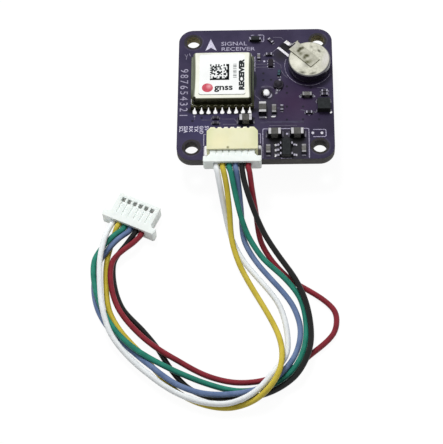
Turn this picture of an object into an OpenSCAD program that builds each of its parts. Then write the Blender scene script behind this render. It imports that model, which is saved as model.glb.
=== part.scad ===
// Satellite positioning module on a square circuit board, with a plug-in six-wire lead.
// Millimetres, +Z up. The origin is the middle of the board, on the surface that it lies on.
// The patch antenna is under the board, so it is the antenna's face that rests on that surface.

/* [Circuit board] */
// Width of the board along X
board_w = 25; // [24:0.5:32]
// Depth of the board along Y
board_d = 25; // [24.6:0.2:32]
// Thickness of the board
board_t = 1.6; // [0.8:0.2:2.4]
// Radius of the board's corners
board_corner_r = 2.4; // [1:0.1:3.5]
// Diameter of the four mounting holes
hole_d = 2.2; // [1.6:0.1:2.6]
// Distance of each mounting hole from the board's edges
hole_inset = 2.35; // [2:0.05:2.6]

/* [Patch antenna] */
// Side of the square ceramic block
patch_w = 18; // [15:0.5:18]
// Height of the ceramic block with both its foils
patch_h = 4; // [2:0.5:6]
// Thickness of each silver foil
foil_t = 0.1; // [0.05:0.05:0.2]
// Side of the radiating foil
radiator_w = 14.8; // [10:0.2:14.8]
// Thickness of the adhesive sheet
tape_t = 0.2; // [0.1:0.05:0.5]
// Distance of the feed pin from the middle of the block
feed_x = 1.7; // [1.5:0.1:2.2]
// Diameter of the feed pin
feed_d = 0.8; // [0.5:0.1:1]
// Diameter of the solder dome over the feed pin
feed_joint_d = 1.6; // [1.3:0.1:1.8]

/* [Receiver module] */
// Length of the module's base along X
module_w = 10.1; // [9.9:0.1:10.4]
// Depth of the module's base along Y
module_d = 9.7; // [9.5:0.1:10.2]
// Thickness of the module's base
module_t = 0.6; // [0.4:0.1:1]
// Number of solder pads on each long side
pad_count = 9; // [5:1:9]
// Distance between the pads
pad_pitch = 1.1; // [0.9:0.05:1.1]
// Width of the shield can at its foot
can_w = 9.4; // [8.8:0.1:9.6]
// Depth of the shield can at its foot
can_d = 9.1; // [8.8:0.1:9.3]
// Height of the shield can
can_h = 1.6; // [1.3:0.05:2.2]
// Inward lean of the can's left and right walls from foot to top
can_lean = 0.4; // [0:0.05:0.5]
// Thickness of the can's sheet
can_wall = 0.15; // [0.1:0.05:0.25]
// Width of the label
label_w = 7.3; // [6:0.1:7.8]
// Depth of the label
label_d = 7.7; // [6:0.1:7.8]

/* [Connector] */
// Distance between the contacts
contact_pitch = 1; // [0.95:0.01:1.02]
// Width of the header along X
header_w = 8; // [7.8:0.1:8.6]
// Depth of the header
header_d = 4; // [3.9:0.05:4.2]
// Height of the header
header_h = 2.9; // [2.8:0.05:3.4]
// Width of the plug's body
plug_w = 7; // [6.8:0.05:7.1]
// Length of the plug from its rear face to its front
plug_l = 4.7; // [4.5:0.1:4.9]
// Height of the plug
plug_h = 2.3; // [2.2:0.05:2.35]
// Width of the flange at the plug's rear
flange_w = 9.1; // [8:0.1:9.4]
// Length of that flange
flange_l = 1; // [0.8:0.05:1.2]
// Diameter of a wire over its insulation
wire_d = 0.88; // [0.6:0.02:0.9]
// Clearance between parts that slide or fit into each other
fit_gap = 0.03; // [0.02:0.01:0.04]

/* [Backup cell] */
// Diameter of the cell
cell_d = 6.8; // [5.8:0.1:7]
// Height of the cell
cell_h = 2.1; // [1.4:0.1:3]
// Thickness of the welded tabs
tab_t = 0.15; // [0.1:0.05:0.2]
// Width of the tab that is welded to the cell's top
tab_w = 2.06; // [1.6:0.02:2.6]
// Width of the narrow leg of the top tab
tab_leg_w = 0.65; // [0.4:0.05:0.8]
// Width of the tab under the cell
base_tab_w = 0.45; // [0.3:0.05:0.8]
// Distance between the two legs
tab_spacing = 1.7; // [1.3:0.1:2]

/* [Small parts] */
// Length of the large capacitors
large_l = 2; // [1.8:0.05:2.1]
// Width and height of the large capacitors
large_w = 1.25; // [1.1:0.05:1.3]
// Length of the medium capacitors
medium_l = 1.5; // [1.4:0.05:1.7]
// Width and height of the medium capacitors
medium_w = 0.75; // [0.7:0.05:0.9]
// Length of the small chip parts
small_l = 1; // [0.9:0.05:1.05]
// Width of the small chip parts
small_w = 0.5; // [0.4:0.05:0.55]
// Height of the regulator's body
regulator_h = 1.1; // [0.9:0.05:1.3]
// Side of the sensor chip along X
sensor_w = 2; // [1.8:0.1:2.2]
// Side of the sensor chip along Y
sensor_d = 2.1; // [1.8:0.1:2.4]

/* [Hidden] */
$fn = 48;

// Heights of the stack under and in the board
board_z = patch_h + tape_t;
top = board_z + board_t;

// Feed pin, its head in the radiating foil and the bores that it passes
feed_y = -0.2;
feed_head_d = 1.5;
feed_bore_d = feed_d + 2 * fit_gap;
feed_keepout_d = 2.4;

// Receiver module: its middle, its half-round pad grooves and its solder
module_x = -5.3;
module_y = 1.95;
groove_r = 0.2;
pad_w = 0.72;
pad_l = 1;
can_shift = 0.15;
can_front_lean = 0.05;
can_edge = 0.1;
can_corner_r = 0.35;
receiver_w = 4;
receiver_h = 0.75;
receiver_at = [1.6, -1.4];
crystal_w = 2;
crystal_d = 1.6;
crystal_h = 0.8;
crystal_at = [-2.6, -1.6];
filter_w = 1.4;
filter_d = 1.1;
filter_h = 0.5;
filter_at = [-2.4, 2];
label_shift = 0.12;
label_t = 0.06;
label_corner_r = 0.4;

// Header: its mouth stands just behind the front edge of the board
way_count = 6;
header_x = -3.6;
header_setback = 0.25;
header_front = header_setback - board_d / 2;
header_back = header_front + header_d;
header_floor = 0.2;
mouth_gap = 0.06;
mouth_l = 3;
back_corner_w = 0.6;
back_corner_d = 0.7;
scallop_r = 0.24;
contact_w = 0.28;
contact_z = 1.3;
contact_reach = 2;
contact_foot_l = 0.75;
contact_fillet = [0.3, 0.5, 0.13];

// Anchors: a blade in a slot of each side of the header, with a foot that is soldered to the board
anchor_y = 0.45;
anchor_l = 1.8;
anchor_h = 1.5;
anchor_seat = 0.17;
anchor_reach = 0.45;
anchor_t = 0.15;
slot_gap = 0.05;

// Plug: rear recess, wire bores, terminal pockets and windows
recess_l = 0.6;
recess_drop = 0.15;
wire_seat = 1.8;
pocket_w = 0.66;
pocket_h = 0.9;
window_l = 0.75;
window_y = 3.35;
groove_l = 2.2;
groove_w = 0.24;
groove_h = 0.14;
terminal_w = pocket_w - 2 * fit_gap;
terminal_h = pocket_h - 2 * fit_gap;
terminal_wall = 0.12;
terminal_front_gap = 0.2;
crimp_l = 0.8;
plug_out = 2.05;
board_plug_y = header_front - plug_out;
free_plug_at = [-20.2, -21.9];
free_plug_turn = -25;

// Backup cell: its distances from the right and back edges, and the direction in which its tabs run
cell_from_right = 3.8;
cell_from_back = 7.47;
cell_at = [board_w / 2 - cell_from_right, board_d / 2 - cell_from_back];
cell_turn = 135;
cell_r = cell_d / 2;
cell_skin = 0.2;
cell_edge = 0.35;
crimp_z = 0.3;
crimp_lip = 0.05;
seal_w = 0.2;
seal_h = 0.9;
cap_step = 0.5;
cap_face = 0.15;
core_edge = 0.3;
tab_rear = -1.35;
tab_bend = 4.8;
tab_bend_z = 0.35;
tab_foot = 5.4;
tab_end = 6;

// Power corner: the regulator, its capacitors and the two bare pads keep together behind the front edge,
// and the sensor and its resistors keep to the right edge
regulator_from_front = 1.67;
output_from_front = 1.57;
input_from_front = 4.52;
pads_from_front = 4.75;
regulator_at = [4.85, regulator_from_front - board_d / 2];
output_y = output_from_front - board_d / 2;
input_y = input_from_front - board_d / 2;
pads_y = pads_from_front - board_d / 2;
bare_pad_at = [[9.06, pads_y], [10.5, pads_y]];
sensor_from_right = 1.58;
sensor_x = board_w / 2 - sensor_from_right;
sensor_at = [sensor_x, -2.75];
pull_up_x = sensor_x + 0.16;
bypass_x = sensor_x - 2.37;

// Chip parts: middle and turn of each one
large_at = [[1.14, -3.4, 90], [3.03, input_y, 0], [6.6, input_y, 0], [-1.55, -5.3, 0]];
medium_at = [[2.96, -3.4, 90], [8.28, -0.66, 0], [2, output_y, 90], [7.6, output_y, 90]];
small_capacitor_at = [[0.56, 6.93, 90]];
small_resistor_at = [[2.22, 7.43, 0], [2.52, 10.12, -48], [4.22, -3, 90], [-6.36, -4.75, 0],
    [-6.35, -5.72, 0], [pull_up_x, 0.13, 0], [pull_up_x, -0.5, 0], [bypass_x, -3.92, 0]];
large_end = 0.48;
medium_end = 0.34;
small_end = 0.24;
small_h = 0.4;
body_inset = 0.02;
regulator_w = 1.5;
regulator_l = 2.9;
lead_pitch = 0.95;
lead_reach = 0.7;
lead_w = 0.4;
lead_t = 0.14;
sensor_h = 1.1;
sensor_fillet = [0.22, 0.45, 0.3];
amplifier_at = [2.5, 5.65];
amplifier_w = 0.7;
amplifier_l = 1.4;
amplifier_h = 0.5;
amplifier_pitch = 0.53;
amplifier_fillet = [0.26, 0.26, 0.18];
diode_from_back = 2.13;
diode_at = [0, board_d / 2 - diode_from_back];
diode_l = 1.75;
diode_w = 0.8;
diode_h = 0.75;
diode_end = 0.22;
choke_at = [3.7, 1.42, 77];
choke_body_l = 1.45;
choke_l = 2.3;
choke_w = 1.5;
choke_h = 0.85;
choke_base_h = 0.45;
choke_dome_d = 1.2;
choke_end_w = 0.4;
coil_at = [3.82, 3.65, 82];

// Route of each wire between its two plugs, and the lowest height of a wire's middle
wire_rest_z = 0.45;
wire_sides = 8;
white_route = [[-5.9, -15.7, 7.1], [-5.5, -17.6, 5.7], [-4.8, -20.6, 2.9], [-3.8, -24.1, 0.9],
    [-1.9, -27.9, 0.5], [0.8, -31.5, 0.5], [3.3, -35.1, 0.5], [4.5, -39.3, 0.5], [4.5, -43.6, 0.7],
    [2.6, -47.3, 2.5], [-0.3, -50.6, 2.5], [-4.2, -52.1, 1.8], [-8.6, -51.6, 1.5],
    [-12.6, -49.8, 1.4], [-16.1, -47.2, 1.4], [-19.3, -44.2, 1.4], [-22, -40.7, 1.9],
    [-23.4, -36.6, 2.4], [-24, -32.3, 2.4], [-24.1, -27.9, 2.7], [-23.4, -24, 2.6]];
yellow_route = [[-4.9, -15.7, 7.1], [-4.5, -17.6, 5.9], [-4.1, -21, 3.9], [-3.8, -24.7, 2],
    [-2.6, -28.7, 1.2], [-0.7, -32.5, 0.7], [1.4, -36.3, 0.5], [3.2, -40.4, 0.9], [3.8, -44.7, 2.6],
    [2.9, -48.6, 3.2], [0.1, -51.4, 2], [-3.8, -52.4, 0.8], [-8, -51.7, 0.5], [-11.8, -49.7, 0.5],
    [-14.8, -46.6, 0.5], [-17.5, -43.3, 0.5], [-20.4, -40, 0.5], [-22.5, -36.3, 0.5],
    [-23.2, -32.1, 0.5], [-23.3, -27.7, 0.5], [-22.5, -23.7, 0.5]];
green_route = [[-3.8, -15.7, 7.15], [-3.4, -17.6, 6.2], [-2.5, -21.1, 4.1], [-1.2, -24.3, 2.2],
    [1.1, -27.7, 1.1], [4, -30.8, 1.2], [6.6, -34.3, 0.8], [7.5, -38.6, 0.5], [7.1, -43.1, 1.3],
    [5.2, -46.8, 1.3], [1.7, -48.9, 0.5], [-2.6, -49.6, 0.5], [-6.8, -48.7, 0.7],
    [-10.8, -47.3, 1.3], [-14.6, -45.5, 1.7], [-18.3, -43.2, 2], [-21.4, -39.9, 1.4],
    [-23.6, -36.1, 1.4], [-24.9, -32.1, 1.6], [-25, -27.7, 1.7], [-22.6, -24, 1.7]];
blue_route = [[-2.9, -15.7, 7], [-2.6, -17.6, 5.3], [-2.3, -20.6, 2.9], [-1.9, -24.3, 1],
    [0.1, -28.1, 0.5], [2.7, -31.5, 0.5], [5.3, -35.1, 0.5], [6.6, -39.2, 0.5], [6, -43.4, 0.9],
    [3.9, -47, 1.7], [0.5, -49.5, 1.4], [-3.8, -50.5, 1.5], [-8.2, -50.3, 1.5], [-12.2, -48.7, 1.5],
    [-15.7, -46, 1.5], [-18.9, -43, 0.9], [-21.9, -39.9, 0.5], [-24.2, -36.2, 0.5],
    [-25.1, -31.9, 0.5], [-24.3, -27.8, 1.1], [-21.8, -24.4, 1.5]];
black_route = [[-2, -15.7, 7.15], [-1.6, -17.6, 6.5], [-0.3, -21.2, 4.9], [1.4, -24.7, 3.3],
    [3.7, -28.1, 2.1], [5.9, -31.5, 1.8], [7.5, -35.4, 1.6], [8.2, -39.8, 1.4], [7.8, -43.9, 1.9],
    [5.8, -47.6, 1.6], [2.3, -49.8, 0.8], [-1.8, -50.8, 0.5], [-6, -50.8, 0.5], [-10, -49.2, 0.5],
    [-12.8, -46.1, 0.5], [-15, -42.5, 0.5], [-17.6, -39.2, 0.5], [-20.4, -36, 0.5],
    [-21.9, -32.1, 0.5], [-22.2, -27.8, 0.5], [-20.5, -25, 0.8]];
red_route = [[-0.9, -15.7, 7], [-0.6, -17.6, 5.5], [0, -20.8, 3.1], [0.7, -24.6, 1.1],
    [2.8, -28.3, 0.5], [5.8, -31.5, 0.5], [9.2, -33.8, 0.5], [11.9, -36.6, 0.5], [11.6, -40.3, 0.5],
    [8.4, -43.5, 0.5], [5, -46.2, 0.5], [1, -47.9, 0.5], [-3.4, -48.2, 0.5], [-7.7, -47, 0.5],
    [-11.6, -45, 1.1], [-15.3, -42.7, 1.5], [-18.5, -39.7, 1.4], [-21.1, -36.1, 1.3],
    [-22.4, -31.9, 1.3], [-22.2, -27.8, 1.4], [-19.4, -25.1, 1.6]];

// Horizontal direction of one way of a plug, counted from the left as seen from behind
function way_x(way) = (way - (way_count - 1) / 2) * contact_pitch;
function turned(p, angle) = [p[0] * cos(angle) - p[1] * sin(angle), p[0] * sin(angle) + p[1] * cos(angle)];
function board_end(way, y) = [header_x + way_x(way), board_plug_y + y, top + header_floor + contact_z];
function free_end(way, y) =
    let (p = free_plug_at + turned([way_x(way), y], free_plug_turn)) [p[0], p[1], contact_z];
function whole_route(way, middle) = concat(
    [board_end(way, wire_seat), board_end(way, 0), board_end(way, -0.6)],
    middle,
    [free_end(way, -0.8), free_end(way, 0), free_end(way, wire_seat)]);

// Smooth curve through the points of a route, with one more point in the middle of each span
function mid_point(a, b, c, d) = (9 * (b + c) - a - d) / 16;
function on_floor(p) = [p[0], p[1], max(p[2], wire_rest_z)];
function smooth(p) = [
    for (i = [0 : len(p) - 1])
    let (b = p[i], c = p[min(i + 1, len(p) - 1)])
    let (a = i > 0 ? p[i - 1] : 2 * b - c, d = i + 2 < len(p) ? p[i + 2] : 2 * c - b)
    each (i < len(p) - 1 ? [on_floor(b), on_floor(mid_point(a, b, c, d))] : [on_floor(b)])];
function unit(v) = v / norm(v);
function heading(p, i) = unit(p[min(i + 1, len(p) - 1)] - p[max(i - 1, 0)]);
function wire_ring(p, i) =
    let (along = heading(p, i), side = unit(cross([0, 0, 1], along)), up = cross(along, side))
    [for (k = [0 : wire_sides - 1])
        let (angle = (k + 0.5) * 360 / wire_sides)
        p[i] + wire_d / 2 * (cos(angle) * side + sin(angle) * up)];

// Solid skin over a list of rings that all have as many points
module loft(rings) {
    n = len(rings[0]);
    last = (len(rings) - 1) * n;
    polyhedron([for (ring = rings) each ring], concat(
        [[for (k = [0 : n - 1]) k]],
        [for (i = [0 : len(rings) - 2], k = [0 : n - 1])
            let (a = i * n + k, b = i * n + (k + 1) % n)
            each [[a, a + n, b + n], [a, b + n, b]]],
        [[for (k = [n - 1 : -1 : 0]) last + k]]), convexity = 6);
}

module rounded_rect(w, d, r) {
    square([w - 2 * r, d], center = true);
    square([w, d - 2 * r], center = true);
    for (x = [-1, 1], y = [-1, 1]) translate([x * (w / 2 - r), y * (d / 2 - r)]) circle(r);
}

module plate(w, d, t, r) {
    linear_extrude(t) rounded_rect(w, d, r);
}

// Block with its long upper edges chamfered, lying along X from x = 0
module chamfered_bar(l, w, h, c) {
    rotate([90, 0, 90]) linear_extrude(l)
        polygon([[-w / 2, 0], [w / 2, 0], [w / 2, h - c], [w / 2 - c, h], [c - w / 2, h], [-w / 2, h - c]]);
}

// Body of a chip part between its two metal ends
module chip_core(l, w, h, end) {
    translate([end - l / 2, 0, 0])
        chamfered_bar(l - 2 * end, w - 2 * body_inset, h - body_inset, 0.05 * w);
}

module chip_ends(l, w, h, end) {
    for (side = [0, 180]) rotate([0, 0, side]) translate([l / 2 - end, 0, 0])
        chamfered_bar(end, w, h, 0.08 * w);
}

// Solder that climbs the end of a chip part with a hollow slope
module fillet_bar(size) {
    reach = size[0];
    h = size[2];
    translate([0, size[1] / 2, 0]) rotate([90, 0, 0]) linear_extrude(size[1])
        polygon([[0, 0], [reach, 0], [reach, 0.03], [0.45 * reach, 0.2 * h], [0.18 * reach, 0.5 * h],
            [0, h]]);
}

module chip_fillets(l, w, h) {
    for (side = [0, 180]) rotate([0, 0, side]) translate([l / 2, 0, 0])
        fillet_bar([0.28 * w + 0.1, 0.9 * w, 0.6 * h]);
}

// Bell of solder against a wall at y = 0, on a pad that runs to y = -l. It starts as a rounded square
// and ends as a half circle.
function rounder(v, power) = sign(v) * pow(abs(v), power);
function bell_ring(w, l, z, power) = [for (k = [0 : 8])
    let (angle = 180 + k * 180 / 8) [w / 2 * rounder(cos(angle), power), l * rounder(sin(angle), power), z]];
module solder_bell(w, l, h) {
    loft([bell_ring(w, l, 0, 0.45), bell_ring(0.98 * w, 0.97 * l, 0.1 * h, 0.45),
        bell_ring(0.8 * w, 0.74 * l, 0.28 * h, 0.6), bell_ring(0.52 * w, 0.42 * l, 0.55 * h, 0.9),
        bell_ring(0.34 * w, 0.18 * l, 0.85 * h, 1), bell_ring(0.22 * w, 0.08 * l, h, 1)]);
}

module at_chips(places) {
    for (p = places) translate([p[0], p[1], top]) rotate([0, 0, p[2]]) children();
}

module at_holes() {
    for (x = [-1, 1], y = [-1, 1])
        translate([x * (board_w / 2 - hole_inset), y * (board_d / 2 - hole_inset), 0]) children();
}

module circuit_board() {
    color("#433a50") translate([0, 0, board_z]) difference() {
        plate(board_w, board_d, board_t, board_corner_r);
        at_holes() translate([0, 0, -1]) cylinder(d = hole_d, h = board_t + 2);
        translate([feed_x, feed_y, -1]) cylinder(d = feed_bore_d, h = board_t + 2);
    }
}

module tape_pad() {
    color("whitesmoke") translate([0, 0, patch_h]) difference() {
        plate(patch_w - 1, patch_w - 1, tape_t, 0.5);
        translate([feed_x, feed_y, -1]) cylinder(d = feed_keepout_d, h = tape_t + 2);
    }
}

module ground_foil() {
    color("silver") translate([0, 0, patch_h - foil_t]) difference() {
        plate(patch_w - 0.6, patch_w - 0.6, foil_t, 0.4);
        translate([feed_x, feed_y, -1]) cylinder(d = feed_keepout_d, h = foil_t + 2);
    }
}

module patch_ceramic() {
    color("#b9a58c") translate([0, 0, foil_t]) difference() {
        plate(patch_w, patch_w, patch_h - 2 * foil_t, 0.6);
        translate([feed_x, feed_y, -1]) cylinder(d = feed_bore_d, h = patch_h + 2);
    }
}

// Radiating foil with two opposite corners cut off, which makes it answer to circular waves
module radiator_foil() {
    r = radiator_w / 2;
    cut = 0.13 * radiator_w;
    color("silver") difference() {
        linear_extrude(foil_t)
            polygon([[-r, -r], [r - cut, -r], [r, cut - r], [r, r], [cut - r, r], [-r, r - cut]]);
        translate([feed_x, feed_y, -1]) cylinder(d = feed_head_d + 2 * fit_gap, h = foil_t + 2);
    }
}

module feed_pin() {
    color("silver") translate([feed_x, feed_y, 0]) {
        cylinder(d = feed_head_d, h = foil_t);
        cylinder(d = feed_d, h = top + 0.35);
    }
}

module feed_joint() {
    r = feed_joint_d / 2;
    color("white") translate([feed_x, feed_y, top]) difference() {
        intersection() {
            translate([0, 0, 0.05]) sphere(r);
            translate([-r, -r, 0]) cube([2 * r, 2 * r, 2 * r]);
        }
        translate([0, 0, -1]) cylinder(d = feed_d, h = 1.35);
    }
}

// Both long sides of the module, each pad's frame pointing away from the module
module at_pads() {
    for (side = [0, 180], i = [0 : pad_count - 1])
        translate([module_x, module_y, top]) rotate([0, 0, side])
        translate([(i - (pad_count - 1) / 2) * pad_pitch, -module_d / 2, 0]) children();
}

module module_base() {
    color("#6b6a3e") difference() {
        translate([module_x - module_w / 2, module_y - module_d / 2, top])
            cube([module_w, module_d, module_t]);
        at_pads() translate([0, 0, -1]) cylinder(r = groove_r, h = module_t + 2);
    }
}

// Thin slice of the can's form, come in by an equal inset and by a lean in X and in Y
module can_slice(inset, lean_x, lean_y) {
    plate(can_w - 2 * (inset + lean_x), can_d - 2 * (inset + lean_y), 0.02, can_corner_r, $fn = 24);
}

module can_form(inset, h) {
    hull() {
        can_slice(inset, 0, 0);
        translate([0, 0, h - can_edge]) can_slice(inset, can_lean, can_front_lean);
        translate([0, 0, h - 0.02]) can_slice(inset + can_edge, can_lean, can_front_lean);
    }
}

module shield_can() {
    color("#dcdcc8") translate([module_x, module_y + can_shift, top + module_t]) difference() {
        can_form(0, can_h);
        translate([0, 0, -0.01]) can_form(can_wall, can_h - can_wall + 0.01);
    }
}

module module_label() {
    color("white") translate([module_x, module_y + can_shift + label_shift, top + module_t + can_h])
        plate(label_w, label_d, label_t, label_corner_r);
}

module module_joints() {
    color("white") at_pads() solder_bell(pad_w, pad_l, module_t);
}

// Place on the module's base under the can
module in_module(place) {
    translate([module_x + place[0], module_y + place[1], top + module_t]) children();
}

module receiver_chip() {
    color("#222222") in_module(receiver_at) plate(receiver_w, receiver_w, receiver_h, 0.1);
}

module reference_crystal() {
    color("silver") in_module(crystal_at) plate(crystal_w, crystal_d, crystal_h, 0.25);
}

module input_filter() {
    color("#8a7a50") in_module(filter_at) plate(filter_w, filter_d, filter_h, 0.08);
}

// Outline of the header seen from above: slanted back corners, and a groove in the back for each contact
module header_outline() {
    w = header_w / 2;
    difference() {
        polygon([[-w, 0], [w, 0], [w, header_d - back_corner_d], [w - back_corner_w, header_d],
            [back_corner_w - w, header_d], [-w, header_d - back_corner_d]]);
        for (way = [0 : way_count - 1]) translate([way_x(way), header_d]) circle(scallop_r);
    }
}

module header_housing() {
    mouth_w = plug_w + 2 * mouth_gap;
    mouth_h = plug_h + 2 * mouth_gap;
    bore_w = contact_w + 2 * fit_gap;
    color("#e9e6bf") translate([header_x, header_front, top]) difference() {
        linear_extrude(header_h) header_outline();
        translate([-mouth_w / 2, -1, header_floor - mouth_gap]) cube([mouth_w, mouth_l + 1, mouth_h]);
        for (way = [0 : way_count - 1])
            translate([way_x(way) - bore_w / 2, 0, contact_z + header_floor - bore_w / 2])
                cube([bore_w, header_d, bore_w]);
        for (side = [0, 1]) mirror([side, 0, 0])
            translate([header_w / 2 - anchor_seat - fit_gap, anchor_y - slot_gap, -1])
                cube([1, anchor_l + 2 * slot_gap, anchor_h + slot_gap + 1]);
    }
}

// Contact: a straight pin through the rear wall, a drop in its groove and a foot on the board
module header_contacts() {
    bar = contact_w;
    z = header_floor + contact_z;
    tip = mouth_l - contact_reach;
    heel = header_d + 0.02;
    color("#d8c68a") for (way = [0 : way_count - 1])
        translate([header_x + way_x(way) - bar / 2, header_front, top])
            rotate([90, 0, 90]) linear_extrude(bar)
            polygon([[tip + 0.1, z - bar / 2], [heel - bar / 2, z - bar / 2], [heel - bar / 2, 0],
                [heel + contact_foot_l, 0], [heel + contact_foot_l, 0.15], [heel + bar / 2, 0.15],
                [heel + bar / 2, z + 0.05], [heel + bar / 2 - 0.1, z + bar / 2], [tip + 0.1, z + bar / 2],
                [tip, z]]);
}

module header_tabs() {
    color("silver") for (side = [0, 1]) translate([header_x, header_front, top]) mirror([side, 0, 0])
        translate([header_w / 2, anchor_y + anchor_l, 0]) rotate([90, 0, 0]) linear_extrude(anchor_l)
            polygon([[-anchor_seat, 0], [anchor_reach, 0], [anchor_reach, anchor_t],
                [0.05, anchor_t + 0.05], [0.03, anchor_h], [-anchor_seat, anchor_h]]);
}

module header_joints() {
    color("white") {
        for (way = [0 : way_count - 1])
            translate([header_x + way_x(way), header_back + 0.02 + contact_foot_l, top])
                rotate([0, 0, 90]) fillet_bar(contact_fillet);
        for (side = [0, 180]) translate([header_x, header_front + anchor_y + anchor_l / 2, top])
            rotate([0, 0, side]) translate([header_w / 2 + anchor_reach, 0, 0])
            fillet_bar([0.12, 0.9 * anchor_l, 0.8 * anchor_t]);
    }
}

// Housing with its rear face at y = 0, its wires on the -Y side and its mouth at y = plug_l
module plug_housing() {
    bore_d = wire_d + 2 * fit_gap;
    difference() {
        union() {
            translate([-plug_w / 2, 0, 0]) cube([plug_w, plug_l, plug_h]);
            translate([-flange_w / 2, 0, 0]) cube([flange_w, flange_l, plug_h]);
            for (side = [0, 1]) mirror([side, 0, 0]) translate([plug_w / 2, flange_l, 0])
                linear_extrude(plug_h) polygon([[0, 0], [0.4, 0], [0, 0.4]]);
        }
        translate([way_x(0) - bore_d / 2, -1, contact_z - wire_d / 2 - recess_drop])
            cube([(way_count - 1) * contact_pitch + bore_d, recess_l + 1, wire_d + recess_drop + fit_gap]);
        for (way = [0 : way_count - 1]) translate([way_x(way), 0, contact_z]) {
            rotate([-90, 0, 0]) cylinder(d = bore_d, h = wire_seat);
            translate([-pocket_w / 2, wire_seat - 0.01, -pocket_h / 2]) cube([pocket_w, plug_l, pocket_h]);
            translate([-pocket_w / 2, window_y, 0]) cube([pocket_w, window_l, plug_h]);
            translate([-groove_w / 2, window_y - groove_l, plug_h - contact_z - groove_h])
                cube([groove_w, groove_l + 0.1, 1]);
        }
        for (x = [-1, 1]) translate([x * flange_w / 2, 0, 0]) rotate([0, 0, 45])
            translate([-0.14, -0.14, -1]) cube([0.28, 0.28, plug_h + 2]);
    }
}

// Terminal: a crimp behind, and a channel in front that the header's pin slides into
module plug_terminals() {
    front = plug_l - terminal_front_gap;
    for (way = [0 : way_count - 1]) translate([way_x(way), wire_seat, contact_z]) difference() {
        translate([-terminal_w / 2, 0, -terminal_h / 2]) cube([terminal_w, front - wire_seat, terminal_h]);
        translate([terminal_wall - terminal_w / 2, crimp_l, terminal_wall - terminal_h / 2])
            cube([terminal_w - 2 * terminal_wall, plug_l, terminal_h]);
    }
}

module at_board_plug() {
    translate([header_x, board_plug_y, top + header_floor]) children();
}

module at_free_plug() {
    translate([free_plug_at[0], free_plug_at[1], 0]) rotate([0, 0, free_plug_turn]) children();
}

module board_plug_housing() {
    color("white") at_board_plug() plug_housing();
}

module board_plug_terminals() {
    color("silver") at_board_plug() plug_terminals();
}

module free_plug_housing() {
    color("white") at_free_plug() plug_housing();
}

module free_plug_terminals() {
    color("silver") at_free_plug() plug_terminals();
}

// One wire from the terminal of one plug to the same way of the other
module wire(way, middle) {
    p = smooth(whole_route(way, middle));
    loft([for (i = [0 : len(p) - 1]) wire_ring(p, i)]);
}

module white_wire() {
    color("#eef0ee") wire(0, white_route);
}

module yellow_wire() {
    color("#c9b832") wire(1, yellow_route);
}

module green_wire() {
    color("#1f7a5c") wire(2, green_route);
}

module blue_wire() {
    color("#6a7bab") wire(3, blue_route);
}

module black_wire() {
    color("#222222") wire(4, black_route);
}

module red_wire() {
    color("#8f2433") wire(5, red_route);
}

// The cell lies with its can up: the base tab is under it and the top tab over it
module at_cell(z) {
    translate([cell_at[0], cell_at[1], top + z]) rotate([0, 0, cell_turn]) children();
}

// Drawn can with a rounded upper edge, whose lower edge is crimped in over the seal
module cell_can() {
    inner_r = cell_r - cell_skin;
    inner_h = cell_h - cell_skin;
    color("#d9d9cc") at_cell(tab_t) rotate_extrude($fn = 72) polygon(concat(
        [[0, cell_h]],
        [for (a = [90 : -15 : 0])
            [cell_r, cell_h] + cell_edge * [cos(a) - 1, sin(a) - 1]],
        [[cell_r, crimp_z - crimp_lip], [inner_r, crimp_lip], [inner_r - seal_w + 0.02, crimp_lip],
            [inner_r, crimp_z], [inner_r, inner_h - core_edge], [inner_r - core_edge, inner_h],
            [0, inner_h]]));
}

module cell_gasket() {
    inner_r = cell_r - cell_skin;
    color("#1a1a1a") at_cell(tab_t) rotate_extrude($fn = 72) polygon([[inner_r - seal_w, crimp_lip],
        [inner_r - seal_w + 0.02, crimp_lip], [inner_r, crimp_z], [inner_r, seal_h],
        [inner_r - seal_w, seal_h]]);
}

// Cap and filling are one closed body
module cell_cap() {
    inner_r = cell_r - cell_skin;
    inner_h = cell_h - cell_skin;
    cap_r = inner_r - seal_w;
    color("silver") at_cell(tab_t) rotate_extrude($fn = 72) polygon([[0, 0], [cap_r - cap_step, 0],
        [cap_r, cap_face], [cap_r, seal_h], [inner_r, seal_h], [inner_r, inner_h - core_edge],
        [inner_r - core_edge, inner_h], [0, inner_h]]);
}

// Strip welded on the can, whose leg comes down to its pad beside the cell
module cell_top_tab() {
    z = tab_t + cell_h;
    edge = cell_r + tab_t;
    color("#c8c8ba") at_cell(0) {
        translate([tab_rear, -tab_w / 2, z]) cube([edge - tab_rear, tab_w, tab_t]);
        translate([0, (tab_leg_w - tab_spacing) / 2, 0]) rotate([90, 0, 0]) linear_extrude(tab_leg_w)
            polygon([[edge, z], [edge + 0.1, z], [tab_bend - 0.05, tab_bend_z], [tab_foot - 0.05, 0],
                [tab_end, 0], [tab_end, tab_t], [tab_foot, tab_t], [tab_bend + 0.05, tab_bend_z + tab_t],
                [edge + 0.2, z + tab_t], [edge, z + tab_t]]);
    }
}

module cell_base_tab() {
    color("#c8c8ba") at_cell(0) translate([tab_rear, (tab_spacing - base_tab_w) / 2, 0])
        cube([tab_end - tab_rear, base_tab_w, tab_t]);
}

module cell_joints() {
    color("white") at_cell(0) {
        translate([tab_end, -tab_spacing / 2, 0]) fillet_bar([0.25, tab_leg_w, 0.9 * tab_t]);
        translate([tab_end, tab_spacing / 2, 0]) fillet_bar([0.25, base_tab_w, 0.9 * tab_t]);
    }
}

// Small outline package with three leads on the left and two on the right
module regulator_body() {
    color("#2b2b2e") translate([regulator_at[0], regulator_at[1] - regulator_l / 2, top + 0.1])
        rotate([90, 0, 180]) linear_extrude(regulator_l)
            polygon([[0.12 - regulator_w / 2, 0], [regulator_w / 2 - 0.12, 0], [regulator_w / 2, 0.5],
                [regulator_w / 2 - 0.12, regulator_h - 0.1], [0.12 - regulator_w / 2, regulator_h - 0.1],
                [-regulator_w / 2, 0.5]]);
}

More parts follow.
